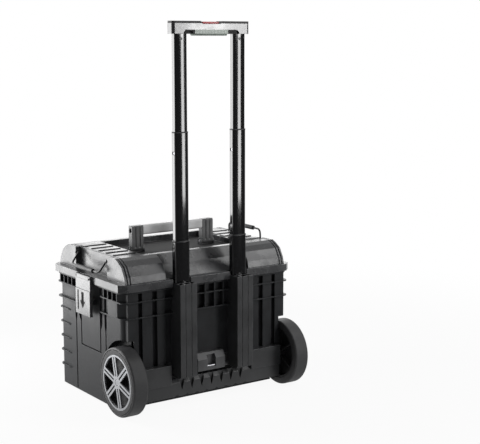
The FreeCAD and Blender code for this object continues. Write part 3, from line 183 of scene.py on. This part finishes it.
floor_paper = bpy.data.materials.new("floor_paper")
floor_paper.use_nodes = True
floor_mesh.materials.append(floor_paper)
tree = floor_paper.node_tree
tree.nodes.clear()
place = add_node(tree, "ShaderNodeTexCoord").outputs["Object"]
distance = add_node(tree, "ShaderNodeVectorMath", operation="LENGTH")
tree.links.new(place, distance.inputs[0])
split = add_node(tree, "ShaderNodeSeparateXYZ")
tree.links.new(place, split.inputs["Vector"])
direct, glossy = seen_directly(tree)
far = remap(tree, distance.outputs["Value"], *SHADOW_REACH, 1 - SHADOW_SHARE, 1.0)
lit_side = remap(tree, split.outputs["Y"], *PAPER_RISE, DIM_SIDE, 1.0)
paper = add_node(tree, "ShaderNodeBsdfDiffuse")
paper.inputs["Color"].default_value = (FLOOR_WHITE, FLOOR_WHITE, FLOOR_WHITE, 1)
glow = add_node(tree, "ShaderNodeEmission")
tree.links.new(calculate(tree, "MAXIMUM", direct, lit_side), glow.inputs["Strength"])
mixed = add_node(tree, "ShaderNodeMixShader")
either = calculate(tree, "MAXIMUM", direct, glossy)
tree.links.new(calculate(tree, "MULTIPLY", either, far), mixed.inputs["Fac"])
tree.links.new(paper.outputs["BSDF"], mixed.inputs[1])
tree.links.new(glow.outputs["Emission"], mixed.inputs[2])
output = add_node(tree, "ShaderNodeOutputMaterial")
tree.links.new(mixed.outputs["Shader"], output.inputs["Surface"])
print(floor_paper.name, "keeps", SHADOW_SHARE, "of the real light near the case")


# %% [markdown]
# ## Softboxes
# Five rectangular lamps stand around the case: a tall one at the front left for the end wall and the latch,
# a narrow one and a wide flat one at the rear right for the line down each tube and the face of the grip,
# one above for the lid, and a weak one at the front right. Point lamps would leave small hard spots on
# gloss plastic; large rectangles give long soft reflections.


# %% Softboxes
def softbox(name, place, aim, width, height, brightness):
    """A rectangular lamp. Brightness is the radiance of its face, where the white backdrop has 1."""
    lamp = bpy.data.lights.new(name, "AREA")
    lamp.shape = "RECTANGLE"
    lamp.size = width
    lamp.size_y = height
    lamp.energy = brightness * math.pi * width * height
    box = bpy.data.objects.new(name, lamp)
    box.location = place
    box.rotation_euler = (Vector(aim) - Vector(place)).to_track_quat("-Z", "Y").to_euler()
    box.visible_camera = False
    scene.collection.objects.link(box)
    print(name, round(lamp.energy, 1), "W")


softbox("left_softbox", (-0.755, 0.69, 0.56), (-0.20, 0.0, 0.50), 0.65, 1.06, 4.9)
softbox("tube_softbox", (1.38, -2.125, 0.72), (0.0, -0.15, 0.72), 0.47, 1.05, 7.2)
softbox("grip_softbox", (1.30, -2.16, 1.12), (0.0, -0.15, 1.00), 0.80, 0.26, 5.2)
softbox("top_softbox", (1.15, -1.00, 1.75), (0.0, -0.1, 0.35), 0.8, 0.8, 5.0)
softbox("back_softbox", (1.15, 1.75, 0.95), (0.0, 0.0, 0.40), 1.2, 0.8, 1.8)

# %% [markdown]
# ## Surface effects
# Moulded plastic has a fine grain from the etched mould, faint mottling, rubbed edges with a painted
# highlight, dust on its upper faces and painted shade in its recesses. More than one finish needs these, so
# each effect is a node group with its own inputs.
# They read the object's own coordinates, in metres, so that the grain keeps its size on every piece
# and moves with it.


# %% Group helpers
def new_group(name, inputs, outputs):
    group = bpy.data.node_groups.new(name, "ShaderNodeTree")
    for label, default in inputs.items():
        socket = group.interface.new_socket(label, in_out="INPUT", socket_type="NodeSocketFloat")
        socket.default_value = default
    for label in outputs:
        group.interface.new_socket(label, in_out="OUTPUT", socket_type="NodeSocketFloat")
    given = group.nodes.new("NodeGroupInput")
    result = group.nodes.new("NodeGroupOutput")
    return group, given.outputs, result.inputs


def noise(tree, vector, scale, detail, roughness=0.55):
    made = add_node(tree, "ShaderNodeTexNoise")
    feed(tree, made.inputs["Vector"], vector)
    feed(tree, made.inputs["Scale"], scale)
    made.inputs["Detail"].default_value = detail
    made.inputs["Roughness"].default_value = roughness
    return made.outputs["Fac"]


def own_coordinates(tree):
    return add_node(tree, "ShaderNodeTexCoord").outputs["Object"]


print("group helpers ready")

# %% Moulded grain
MOTTLE_STEP = (0.3, 0.7)

moulded_grain, given, result = new_group(
    "moulded_grain", {"Grain Size": 0.0012, "Mottle Size": 0.05}, ("Height", "Mottle")
)
where = own_coordinates(moulded_grain)
fine = noise(moulded_grain, where, calculate(moulded_grain, "DIVIDE", 1.0, given["Grain Size"]), 3.0)
spread = calculate(moulded_grain, "DIVIDE", 1.0, given["Mottle Size"])
broad = noise(moulded_grain, where, spread, 4.0, 0.6)
feed(moulded_grain, result["Height"], fine)
feed(moulded_grain, result["Mottle"], remap(moulded_grain, broad, *MOTTLE_STEP, 0.0, 1.0))
print(moulded_grain.name, "ready")

# %% [markdown]
# ### Rubbed edges and painted edge highlights
# Handling and transport rub the edges of a moulding paler, and the same paler colour also paints the
# highlight that light leaves along an edge. The wear could be painted by hand, but a bevel
# node finds the edges by itself: where its rounded normal turns away from the true one, there is an edge.
# Noise breaks the line into patches, and the rounded normal also softens the edge in the shading.

# %% Rubbed edges with painted highlights
EDGE_TURN = (0.80, 0.985)
EDGE_PATCHES = (0.28, 0.52)

worn_and_highlit_edges, given, result = new_group("worn_and_highlit_edges", {"Reach": 0.0015, "Patch Size": 0.02}, ("Mask",))
worn_and_highlit_edges.interface.new_socket("Rounded", in_out="OUTPUT", socket_type="NodeSocketVector")
surface = add_node(worn_and_highlit_edges, "ShaderNodeNewGeometry")
rounded = add_node(worn_and_highlit_edges, "ShaderNodeBevel", samples=4)
feed(worn_and_highlit_edges, rounded.inputs["Radius"], given["Reach"])
facing = add_node(worn_and_highlit_edges, "ShaderNodeVectorMath", operation="DOT_PRODUCT")
worn_and_highlit_edges.links.new(rounded.outputs["Normal"], facing.inputs[0])
worn_and_highlit_edges.links.new(surface.outputs["Normal"], facing.inputs[1])
edge = remap(worn_and_highlit_edges, facing.outputs["Value"], *EDGE_TURN, 1.0, 0.0)
patches = noise(
    worn_and_highlit_edges, own_coordinates(worn_and_highlit_edges),
    calculate(worn_and_highlit_edges, "DIVIDE", 1.0, given["Patch Size"]), 5.0,
)
patchy = remap(worn_and_highlit_edges, patches, *EDGE_PATCHES, 0.0, 1.0)
feed(worn_and_highlit_edges, result["Mask"], calculate(worn_and_highlit_edges, "MULTIPLY", edge, patchy))
feed(worn_and_highlit_edges, result["Rounded"], rounded.outputs["Normal"])
print(worn_and_highlit_edges.name, "ready")

# %% [markdown]
# ### Painted recess shade
# Grooves and pockets of the case are painted darker than its open walls, as shade where less light reaches,
# and made duller with a higher roughness.
# A dark second material would need its own faces; ambient occlusion measures how closed in each spot is.

# %% Painted recess shade
CLOSED_IN = (0.30, 0.85)

painted_recess_shade, given, result = new_group("painted_recess_shade", {"Reach": 0.012}, ("Mask",))
hollow = add_node(painted_recess_shade, "ShaderNodeAmbientOcclusion", samples=6, only_local=True)
feed(painted_recess_shade, hollow.inputs["Distance"], given["Reach"])
closed = remap(painted_recess_shade, hollow.outputs["AO"], *CLOSED_IN, 1.0, 0.0)
feed(painted_recess_shade, result["Mask"], closed)
print(painted_recess_shade.name, "ready")

# %% [markdown]
# ### Settled dust
# A trace of dust lies on faces that look upward. Particles would be far too many, so the mask takes the
# upward part of the normal and breaks it up with noise.

# %% Settled dust
UPWARD = (0.55, 0.98)
DUST_PATCHES = (0.3, 0.75)

settled_dust, given, result = new_group("settled_dust", {"Patch Size": 0.06}, ("Mask",))
surface = add_node(settled_dust, "ShaderNodeNewGeometry")
split = add_node(settled_dust, "ShaderNodeSeparateXYZ")
settled_dust.links.new(surface.outputs["Normal"], split.inputs["Vector"])
upward = remap(settled_dust, split.outputs["Z"], *UPWARD, 0.0, 1.0)
patches = noise(
    settled_dust, own_coordinates(settled_dust),
    calculate(settled_dust, "DIVIDE", 1.0, given["Patch Size"]), 6.0, 0.65,
)
patchy = remap(settled_dust, patches, *DUST_PATCHES, 0.1, 1.0)
feed(settled_dust, result["Mask"], calculate(settled_dust, "MULTIPLY", upward, patchy))
print(settled_dust.name, "ready")

# %% [markdown]
# ### Drawn lines
# Tube and bar stock is pulled through a die, which leaves faint lines along it. They could be modelled as
# scratches, but noise that is stretched along the upright axis gives the same streaks at any length.

# %% Drawn lines
STREAK_STEP = (0.35, 0.7)

drawn_lines, given, result = new_group(
    "drawn_lines", {"Line Width": 0.0006, "Line Length": 0.08}, ("Height", "Streak")
)
split = add_node(drawn_lines, "ShaderNodeSeparateXYZ")
drawn_lines.links.new(own_coordinates(drawn_lines), split.inputs["Vector"])
stretched = add_node(drawn_lines, "ShaderNodeCombineXYZ")
for axis, size in (("X", "Line Width"), ("Y", "Line Width"), ("Z", "Line Length")):
    shrunk = calculate(drawn_lines, "DIVIDE", split.outputs[axis], given[size])
    feed(drawn_lines, stretched.inputs[axis], shrunk)
lines = noise(drawn_lines, stretched.outputs["Vector"], 1.0, 3.0)
feed(drawn_lines, result["Height"], lines)
feed(drawn_lines, result["Streak"], remap(drawn_lines, lines, *STREAK_STEP, 0.0, 1.0))
print(drawn_lines.name, "ready")


# %% [markdown]
# ## Finishes
# One finish is made for each material slot of the record. All of the plastics share a recipe: a dark
# colour that the mottling shifts a little, a roughness that follows the same mottling, a bump from the
# grain, edges painted paler for wear and for their highlight, a trace of dust, and painted shade in the
# recesses. What sets them apart is the depth of colour, the gloss and the size of the grain.


# %% Finish helpers
def new_finish(name, roughness, specular=0.5):
    finish = bpy.data.materials.new(name)
    finish.use_nodes = True
    shader = finish.node_tree.nodes["Principled BSDF"]
    shader.inputs["Roughness"].default_value = roughness
    shader.inputs["Specular IOR Level"].default_value = specular
    return finish, finish.node_tree, shader


def place_group(tree, group, **values):
    made = add_node(tree, "ShaderNodeGroup", node_tree=group)
    for label, value in values.items():
        made.inputs[label.replace("_", " ")].default_value = value
    return made.outputs


def raise_surface(tree, shader, height, depth, rounded=None):
    bump = add_node(tree, "ShaderNodeBump")
    if rounded:
        tree.links.new(rounded, bump.inputs["Normal"])
    bump.inputs["Strength"].default_value = 1.0
    bump.inputs["Distance"].default_value = depth
    tree.links.new(height, bump.inputs["Height"])
    tree.links.new(bump.outputs["Normal"], shader.inputs["Normal"])


def scaled(colour, factor):
    return tuple(min(1.0, part * factor) for part in colour)


print("finish helpers ready")

# %% The moulded recipe
MOTTLE_SIZE = 0.05
MOTTLE_TINT = (0.82, 1.18)
GLOSS_DRIFT = 0.05
EDGE_REACH = 0.0016
EDGE_PATCH = 0.018
# Edges are painted this much paler: partly wear, partly a painted highlight along the edge.
WEAR_AND_HIGHLIGHT_TINT = 4.5
DUST = (0.30, 0.30, 0.29)
DUST_PATCH = 0.07
RECESS_REACH = 0.012
# Recesses are painted down to this share of the colour, as shade.
RECESS_PAINTED_SHADE = 0.35
RECESS_DULL = 0.35
finishes = {}


def moulded_finish(
    slot, colour, roughness, specular=0.5, grain=0.0012, depth=0.00006, edge_wear_and_highlight=0.35, dust=0.05, recess=1.0
):
    """Moulded plastic or rubber with grain, mottling, edges painted paler for wear and highlight, dust, and
    recesses painted darker as shade and made duller.
    """
    finish, tree, shader = new_finish(slot, roughness, specular)
    texture = place_group(tree, moulded_grain, Grain_Size=grain, Mottle_Size=MOTTLE_SIZE)
    tinted = mix_colour(tree, texture["Mottle"], *[scaled(colour, tint) for tint in MOTTLE_TINT])
    edges = place_group(tree, worn_and_highlit_edges, Reach=EDGE_REACH, Patch_Size=EDGE_PATCH)
    amount = calculate(tree, "MULTIPLY", edges["Mask"], edge_wear_and_highlight)
    # Paler edges paint both wear and the highlight that light leaves along an edge.
    worn_and_highlit_colour = mix_colour(tree, amount, tinted, scaled(colour, WEAR_AND_HIGHLIGHT_TINT))
    settled = place_group(tree, settled_dust, Patch_Size=DUST_PATCH)
    amount = calculate(tree, "MULTIPLY", settled["Mask"], dust)
    dusty = mix_colour(tree, amount, worn_and_highlit_colour, DUST)
    shade = place_group(tree, painted_recess_shade, Reach=RECESS_REACH)
    hollow = calculate(tree, "MULTIPLY", shade["Mask"], recess)
    # Painted shade: the colour darkens where the recess mask is closed in.
    shaded = mix_colour(tree, hollow, dusty, scaled(colour, RECESS_PAINTED_SHADE))
    tree.links.new(shaded, shader.inputs["Base Color"])
    varied = remap(tree, texture["Mottle"], 0.0, 1.0, roughness - GLOSS_DRIFT, roughness + GLOSS_DRIFT)
    dull = calculate(tree, "MULTIPLY_ADD", hollow, RECESS_DULL, varied)
    tree.links.new(calculate(tree, "MINIMUM", dull, 1.0), shader.inputs["Roughness"])
    raise_surface(tree, shader, texture["Height"], depth, edges["Rounded"])
    finishes[slot] = finish


print("moulded recipe ready")

# %% [markdown]
# ## Zones of a finish
# Some mouldings change their surface part of the way: a printed arrow and a slot painted black as shade on
# each latch lever, a matt edge and a ribbed pad with painted light and shade on the pull grip, and the dull
# floor under the carry handle, painted darker as shade. Each zone could be a second material on its own
# faces, but the CAD meshes stay as they are. So a mask is worked out from the object's own coordinates, and
# inside it the colour and the roughness are swapped.


# %% Zone helpers
def inside(tree, value, low, high):
    above = calculate(tree, "GREATER_THAN", value, low)
    return calculate(tree, "MULTIPLY", above, calculate(tree, "LESS_THAN", value, high))


def own_axes(tree):
    split = add_node(tree, "ShaderNodeSeparateXYZ")
    tree.links.new(own_coordinates(tree), split.inputs["Vector"])
    return split.outputs["X"], split.outputs["Y"], split.outputs["Z"]


def paint_zone(finish, zone, colour, roughness):
    """Give one zone of a finish its own colour and roughness."""
    tree = finish.node_tree
    shader = tree.nodes["Principled BSDF"]
    plain = shader.inputs["Base Color"].links[0].from_socket
    tree.links.new(mix_colour(tree, zone, plain, colour), shader.inputs["Base Color"])
    plain = shader.inputs["Roughness"].links[0].from_socket
    change = calculate(tree, "MULTIPLY", zone, calculate(tree, "SUBTRACT", roughness, plain))
    tree.links.new(calculate(tree, "ADD", plain, change), shader.inputs["Roughness"])


print("zone helpers ready")

# %% [markdown]
# ### Latch print and slot shade
# Each latch lever carries a plain printed arrow that points to its opening edge, beside a narrow slot
# painted black as shade. The shapes are simple enough to be written as limits on two coordinates of the
# lever's outer face.

# %% Printed arrow, and painted shade in the slot, on the latch levers
# The arrow's black is print; the same black in the slot is painted shade.
INK_AND_SLOT_SHADE = (0.004, 0.004, 0.004)
INK_ROUGHNESS = 0.95
INK_DEPTH = 0.0024
ARROW_RISE = 0.039
ARROW_HALF = 0.022
ARROW_TAIL = 0.007
ARROW_HEAD = (0.0145, 0.020)
SLOT_SHIFT = 0.0248
SLOT_HALF = (0.0033, 0.025)


def print_and_shade_lever(finish):
    tree = finish.node_tree
    low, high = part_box("latch_flap_right")
    out, along, up = own_axes(tree)
    face = calculate(tree, "GREATER_THAN", calculate(tree, "ABSOLUTE", out), high.x - INK_DEPTH)
    along = calculate(tree, "SUBTRACT", along, (low.y + high.y) / 2)
    up = calculate(tree, "SUBTRACT", up, low.z + ARROW_RISE)
    half, length = ARROW_HEAD
    shoulder = length - ARROW_HALF
    across = calculate(tree, "ABSOLUTE", along)
    narrow = calculate(tree, "LESS_THAN", across, ARROW_TAIL)
    tail = calculate(tree, "MULTIPLY", inside(tree, up, shoulder, ARROW_HALF), narrow)
    taper = calculate(tree, "MULTIPLY_ADD", up, half / length, half * ARROW_HALF / length)
    pointed = calculate(tree, "LESS_THAN", across, taper)
    head = calculate(tree, "MULTIPLY", inside(tree, up, -ARROW_HALF, shoulder), pointed)
    # The slot is painted black as shade.
    wide, tall = SLOT_HALF
    beside = inside(tree, along, SLOT_SHIFT - wide, SLOT_SHIFT + wide)
    slot = calculate(tree, "MULTIPLY", beside, inside(tree, up, -tall, tall))
    print_and_shade_mask = calculate(tree, "MAXIMUM", calculate(tree, "MAXIMUM", tail, head), slot)
    paint_zone(finish, calculate(tree, "MULTIPLY", face, print_and_shade_mask), INK_AND_SLOT_SHADE, INK_ROUGHNESS)
    print("arrow", round(2 * ARROW_HALF, 3), "m tall on levers", round(high.z - low.z, 3), "m tall")


# %% [markdown]
# ### Pull grip
# The grip is a gloss moulding with a matt upper edge, dark gussets beside the tubes, and a ribbed greenish
# pad under the hand, whose ribs are painted as pale and dark stripes for their light and shade. The stripes
# follow a sine wave along the grip, which keeps their spacing exact.

# %% Matt edge, and pad with painted rib light and shade, on the pull grip
MATT_BLACK = (0.010, 0.010, 0.011)
EDGE_ROUGHNESS = 0.62
GUSSET_ROUGHNESS = 0.7
# Pale and dark colours that paint the lit tops and shaded grooves of the pad's ribs.
PAD_RIB_LIGHT_AND_SHADE = ((0.30, 0.35, 0.31), (0.62, 0.68, 0.63))
PAD_ROUGHNESS = 0.5
GRIP_EDGE = 0.0058
PAD_HALF = 0.050
PAD_RISE = 0.0105
GUSSET_HALF = 0.080
PAD_RIB = 0.0045


def zone_grip(finish):
    tree = finish.node_tree
    grip_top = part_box("grip_shell")[1].z
    along, _, up = own_axes(tree)
    upper_edge = calculate(tree, "GREATER_THAN", up, grip_top - GRIP_EDGE)
    paint_zone(finish, upper_edge, MATT_BLACK, EDGE_ROUGHNESS)
    foot = calculate(tree, "LESS_THAN", up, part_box("grip_pad")[1].z + PAD_RISE)
    across = calculate(tree, "ABSOLUTE", along)
    gusset = calculate(tree, "MULTIPLY", foot, inside(tree, across, PAD_HALF, GUSSET_HALF))
    paint_zone(finish, gusset, MATT_BLACK, GUSSET_ROUGHNESS)
    pad = calculate(tree, "MULTIPLY", foot, calculate(tree, "LESS_THAN", across, PAD_HALF))
    wave = calculate(tree, "SINE", calculate(tree, "MULTIPLY", along, 2 * math.pi / PAD_RIB))
    # Pale and dark stripes paint the light and shade of the pad's ribs.
    ribs = mix_colour(tree, remap(tree, wave, -0.6, 0.6, 0.0, 1.0), *PAD_RIB_LIGHT_AND_SHADE)
    paint_zone(finish, pad, ribs, PAD_ROUGHNESS)
    print("grip pad with", round(2 * PAD_HALF / PAD_RIB), "ribs")


# %% [markdown]
# ### Recess floor with painted shade
# The floor under the carry handle is duller than the gloss lid around it and painted darker as shade under
# the handle. It is found by its height and by facing straight up, so the walls of the recess keep their
# gloss.

# %% Dull floor of the carry handle's recess, painted darker as shade
# The floor's darker colour is painted shade under the carry handle; its roughness is a duller surface.
RECESS_FLOOR_SHADE = (0.014, 0.014, 0.015)
FLOOR_ROUGHNESS = 0.85
FACING_UP = 0.98
FLOOR_BAND = 0.0012
LID_RIB = 0.0025
RECESS_DROP = 0.016


def zone_lid(finish):
    tree = finish.node_tree
    _, _, up = own_axes(tree)
    floor_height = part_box("lid_shell")[1].z - LID_RIB - RECESS_DROP
    level = add_node(tree, "ShaderNodeSeparateXYZ")
    tree.links.new(add_node(tree, "ShaderNodeNewGeometry").outputs["Normal"], level.inputs["Vector"])
    flat = calculate(tree, "GREATER_THAN", level.outputs["Z"], FACING_UP)
    near_floor = inside(tree, up, floor_height - FLOOR_BAND, floor_height + FLOOR_BAND)
    zone = calculate(tree, "MULTIPLY", flat, near_floor)
    paint_zone(finish, zone, RECESS_FLOOR_SHADE, FLOOR_ROUGHNESS)
    print("recess floor at", round(floor_height, 4), "m")


# %% [markdown]
# ## Plastics, rubbers and metals
# The tub, the lid, the frame at the rear and the handles are all black or dark grey, but not alike: the
# tub is matt, the lid and the latches shine, and the bar of the carry handle is a paler grey. The tubes
# are painted gloss black over drawn metal, and the wheel trims are silvered. Each could have a shader of
# its own; one recipe with a line of values for each finish is shorter and easier to compare.


# %% Plastics and rubbers
moulded_finish("case_plastic", (0.021, 0.022, 0.024), 0.42, 0.27, edge_wear_and_highlight=0.8)
moulded_finish("frame_plastic", (0.034, 0.035, 0.037), 0.38, 0.60, edge_wear_and_highlight=1.0)
moulded_finish("catch_plastic", (0.075, 0.076, 0.079), 0.38, 0.60, edge_wear_and_highlight=0.8)
moulded_finish("lid_plastic", (0.050, 0.051, 0.054), 0.29, 0.66, edge_wear_and_highlight=1.0, recess=0.3)
moulded_finish("handle_plastic", (0.09, 0.091, 0.093), 0.36, 0.70)
moulded_finish("bar_plastic", (0.75, 0.75, 0.755), 0.45, 0.60)
moulded_finish("latch_plastic", (0.070, 0.071, 0.074), 0.26, 0.75, depth=0.000015)
moulded_finish("rubber", (0.018, 0.018, 0.018), 0.80, 0.30, grain=0.0008, depth=0.0001, edge_wear_and_highlight=0.1)
moulded_finish("sleeve_plastic", (0.040, 0.041, 0.043), 0.48, 0.40)
moulded_finish("collar_plastic", (0.030, 0.030, 0.032), 0.45, 0.40)
moulded_finish("grip_plastic", (0.030, 0.031, 0.033), 0.15, 1.0, depth=0.000015)
moulded_finish("hub_plastic", (0.016, 0.016, 0.017), 0.45, 0.45, recess=0.2)
moulded_finish("red_plastic", (0.52, 0.025, 0.030), 0.35, 0.50, edge_wear_and_highlight=0.15, dust=0.03)
moulded_finish("grip_rubber", (0.26, 0.30, 0.27), 0.85, 0.15, grain=0.0010, depth=0.0001, edge_wear_and_highlight=0.1)
moulded_finish("tyre_rubber", (0.042, 0.042, 0.044), 0.55, 0.55, grain=0.0018, depth=0.00015, edge_wear_and_highlight=0.2)
print_and_shade_lever(finishes["latch_plastic"])
zone_grip(finishes["grip_plastic"])
zone_lid(finishes["lid_plastic"])
print("plastics and rubbers:", ", ".join(finishes))


# %% [markdown]
# ### Metals and paint
# The axle and catch bar are plated steel, the bails and tubes are painted black, and the trims are silvered.
# One recipe serves them all, because each is a smooth coat over stock with faint lines along it.

# %% Metals and paint
STREAK_TINT = (0.9, 1.08)
STREAK_GLOSS = (0.85, 1.15)
LINE_LENGTH = 0.05


def metal_finish(slot, colour, roughness, metallic, line_width, depth, ior=1.5, specular=0.5):
    """Metal or paint with faint lines from drawing or rolling."""
    finish, tree, shader = new_finish(slot, roughness, specular)
    shader.inputs["Metallic"].default_value = metallic
    shader.inputs["IOR"].default_value = ior
    lines = place_group(tree, drawn_lines, Line_Width=line_width, Line_Length=LINE_LENGTH)
    streaked = mix_colour(tree, lines["Streak"], *[scaled(colour, tint) for tint in STREAK_TINT])
    tree.links.new(streaked, shader.inputs["Base Color"])
    varied = remap(tree, lines["Streak"], 0.0, 1.0, *[roughness * share for share in STREAK_GLOSS])
    tree.links.new(varied, shader.inputs["Roughness"])
    raise_surface(tree, shader, lines["Height"], depth)
    finishes[slot] = finish


metal_finish("steel", (0.42, 0.42, 0.44), 0.38, 1.0, 0.0005, 0.00002)
metal_finish("black_wire", (0.020, 0.020, 0.021), 0.32, 0.0, 0.0008, 0.00002)
metal_finish("black_tube", (0.006, 0.006, 0.007), 0.10, 0.0, 0.0009, 0.000004, ior=1.8)
metal_finish("silver_trim", (0.50, 0.51, 0.53), 0.32, 0.85, 0.0007, 0.00001)
print("metals and paint:", ", ".join(list(finishes)[-4:]))

# %% [markdown]
# ## Dressing the solids
# The CAD meshes have perfectly sharp edges, and no real moulding does: light runs along the small
# radius of every edge. A bevel modifier gives each small solid that radius without touching its mesh.
# Before it, a weld joins the doubled vertices and a planar dissolve removes the triangles of the flat
# faces; after it, weighted normals keep the flat faces flat. The large ribbed shells and the trims lose
# shape in a dissolve, so theirs are only parted at sharp edges, and the shading rounds them.

# %% Edge helpers
EDGE_RADIUS = {
    "rear_catch": 0.0010,
    "grip_shell": 0.0035, "carry_bar": 0.0010, "carry_arm_left": 0.0008, "carry_arm_right": 0.0008,
    "latch_flap_left": 0.0007, "latch_flap_right": 0.0007,
    "hub_left": 0.0006, "hub_right": 0.0006,
    "release_button": 0.0008, "grip_pad": 0.0004, "front_feet": 0.0010,
}
SMALL_EDGE = 0.0003
SHARP = math.radians(32)
WELD_REACH = 0.00001
FLAT_ANGLE = math.radians(0.4)
EDGE_STEPS = 2
NORMAL_WEIGHT = 80


def soften(piece, radius):
    weld = piece.modifiers.new("weld", "WELD")
    weld.merge_threshold = WELD_REACH
    flat = piece.modifiers.new("flat_faces", "DECIMATE")
    flat.decimate_type = "DISSOLVE"
    flat.angle_limit = FLAT_ANGLE
    edge = piece.modifiers.new("edge_radius", "BEVEL")
    edge.width = radius
    edge.segments = EDGE_STEPS
    edge.limit_method = "ANGLE"
    edge.angle_limit = SHARP
    edge.use_clamp_overlap = True
    edge.miter_outer = "MITER_ARC"
    normals = piece.modifiers.new("even_normals", "WEIGHTED_NORMAL")
    normals.keep_sharp = True
    normals.weight = NORMAL_WEIGHT


def flatten(piece, angle):
    """Plain flat faces, parted where they meet at more than an angle."""
    split = piece.modifiers.new("sharp_edges", "EDGE_SPLIT")
    split.split_angle = angle
    normals = piece.modifiers.new("even_normals", "WEIGHTED_NORMAL")
    normals.weight = NORMAL_WEIGHT


print(len(EDGE_RADIUS), "solids have an edge radius of their own")

# %% Give each solid its finish and its edges
slot_of = {entry["node"]: entry["material_slot"] for entry in frame["record"]["subparts"]}
SPLIT_DEGREES = {
    "lid_shell": 6, "tub_shell": 22, "axle_carrier": 22,
    "handle_channel_left": 22, "handle_channel_right": 22, "trim_left": 22, "trim_right": 22,
}
OWN_FINISH = {
    "axle_carrier": "frame_plastic", "rear_catch": "catch_plastic", "handle_channel_left": "frame_plastic",
    "handle_channel_right": "frame_plastic", "carry_bar": "bar_plastic", "grip_screws": "black_wire",
}
for name, piece in solids.items():
    piece.data.materials.clear()
    piece.data.materials.append(finishes[OWN_FINISH.get(name, slot_of[name])])
    if name in SPLIT_DEGREES:
        flatten(piece, math.radians(SPLIT_DEGREES[name]))
    else:
        soften(piece, EDGE_RADIUS.get(name, SMALL_EDGE))
print(len(solids), "solids dressed in", len(finishes), "finishes")

# %% [markdown]
# ## Corner blocks
# On the real case the two rear corners of the tub are square between the flange and the lower rib, where
# a chamfered block fills the round of the wall. Each block is two prisms, a long one under the upper rib
# and a short one above it that leaves room for the pockets. They could be cut from one box, but drawing
# the outline and lifting it keeps the chamfer and the two lengths easy to change.

# %% Prism helper
def add_prism(mesh, outline, foot, top):
    """Lift a closed outline from one height to another."""
    lower = [mesh.verts.new((x, y, foot)) for x, y in outline]
    upper = [mesh.verts.new((x, y, top)) for x, y in outline]
    mesh.faces.new(upper)
    mesh.faces.new(lower[::-1])
    for index in range(len(outline)):
        after = (index + 1) % len(outline)
        mesh.faces.new((lower[index], lower[after], upper[after], upper[index]))


print("prism helper ready")

# %% Corner blocks
BLOCK_INNER = 0.040
BLOCK_REAR = 0.0045
BLOCK_CHAMFER = (0.022, 0.026)
BLOCK_LENGTHS = (0.029, 0.077)
BLOCK_EDGE = 0.0008
FLANGE_HEIGHT = 0.020
FLANGE_SETBACK = 0.0005
RIB_DROPS = (0.023, 0.064)

tub_low, tub_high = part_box("tub_shell")
flange_foot = tub_high.z - FLANGE_HEIGHT
heights = [flange_foot] + [flange_foot - drop for drop in RIB_DROPS]
for side, word in ((-1, "left"), (1, "right")):
    mesh = bmesh.new()
    outer = tub_high.x - FLANGE_SETBACK
    rear = tub_low.y + BLOCK_REAR
    for length, top, foot in zip(BLOCK_LENGTHS, heights, heights[1:]):
        outline = [
            (side * (outer - BLOCK_INNER), rear + length), (side * (outer - BLOCK_INNER), rear),
            (side * (outer - BLOCK_CHAMFER[0]), rear), (side * outer, rear + BLOCK_CHAMFER[1]),
            (side * outer, rear + length),
        ]
        add_prism(mesh, outline, foot, top)
    bmesh.ops.recalc_face_normals(mesh, faces=mesh.faces)
    data = bpy.data.meshes.new(f"corner_block_{word}")
    mesh.to_mesh(data)
    mesh.free()
    block = bpy.data.objects.new(data.name, data)
    scene.collection.objects.link(block)
    data.materials.append(finishes["case_plastic"])
    soften(block, BLOCK_EDGE)
    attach(block, "tub")
    print(block.name, "from", round(heights[-1], 3), "to", round(heights[0], 3), "m")
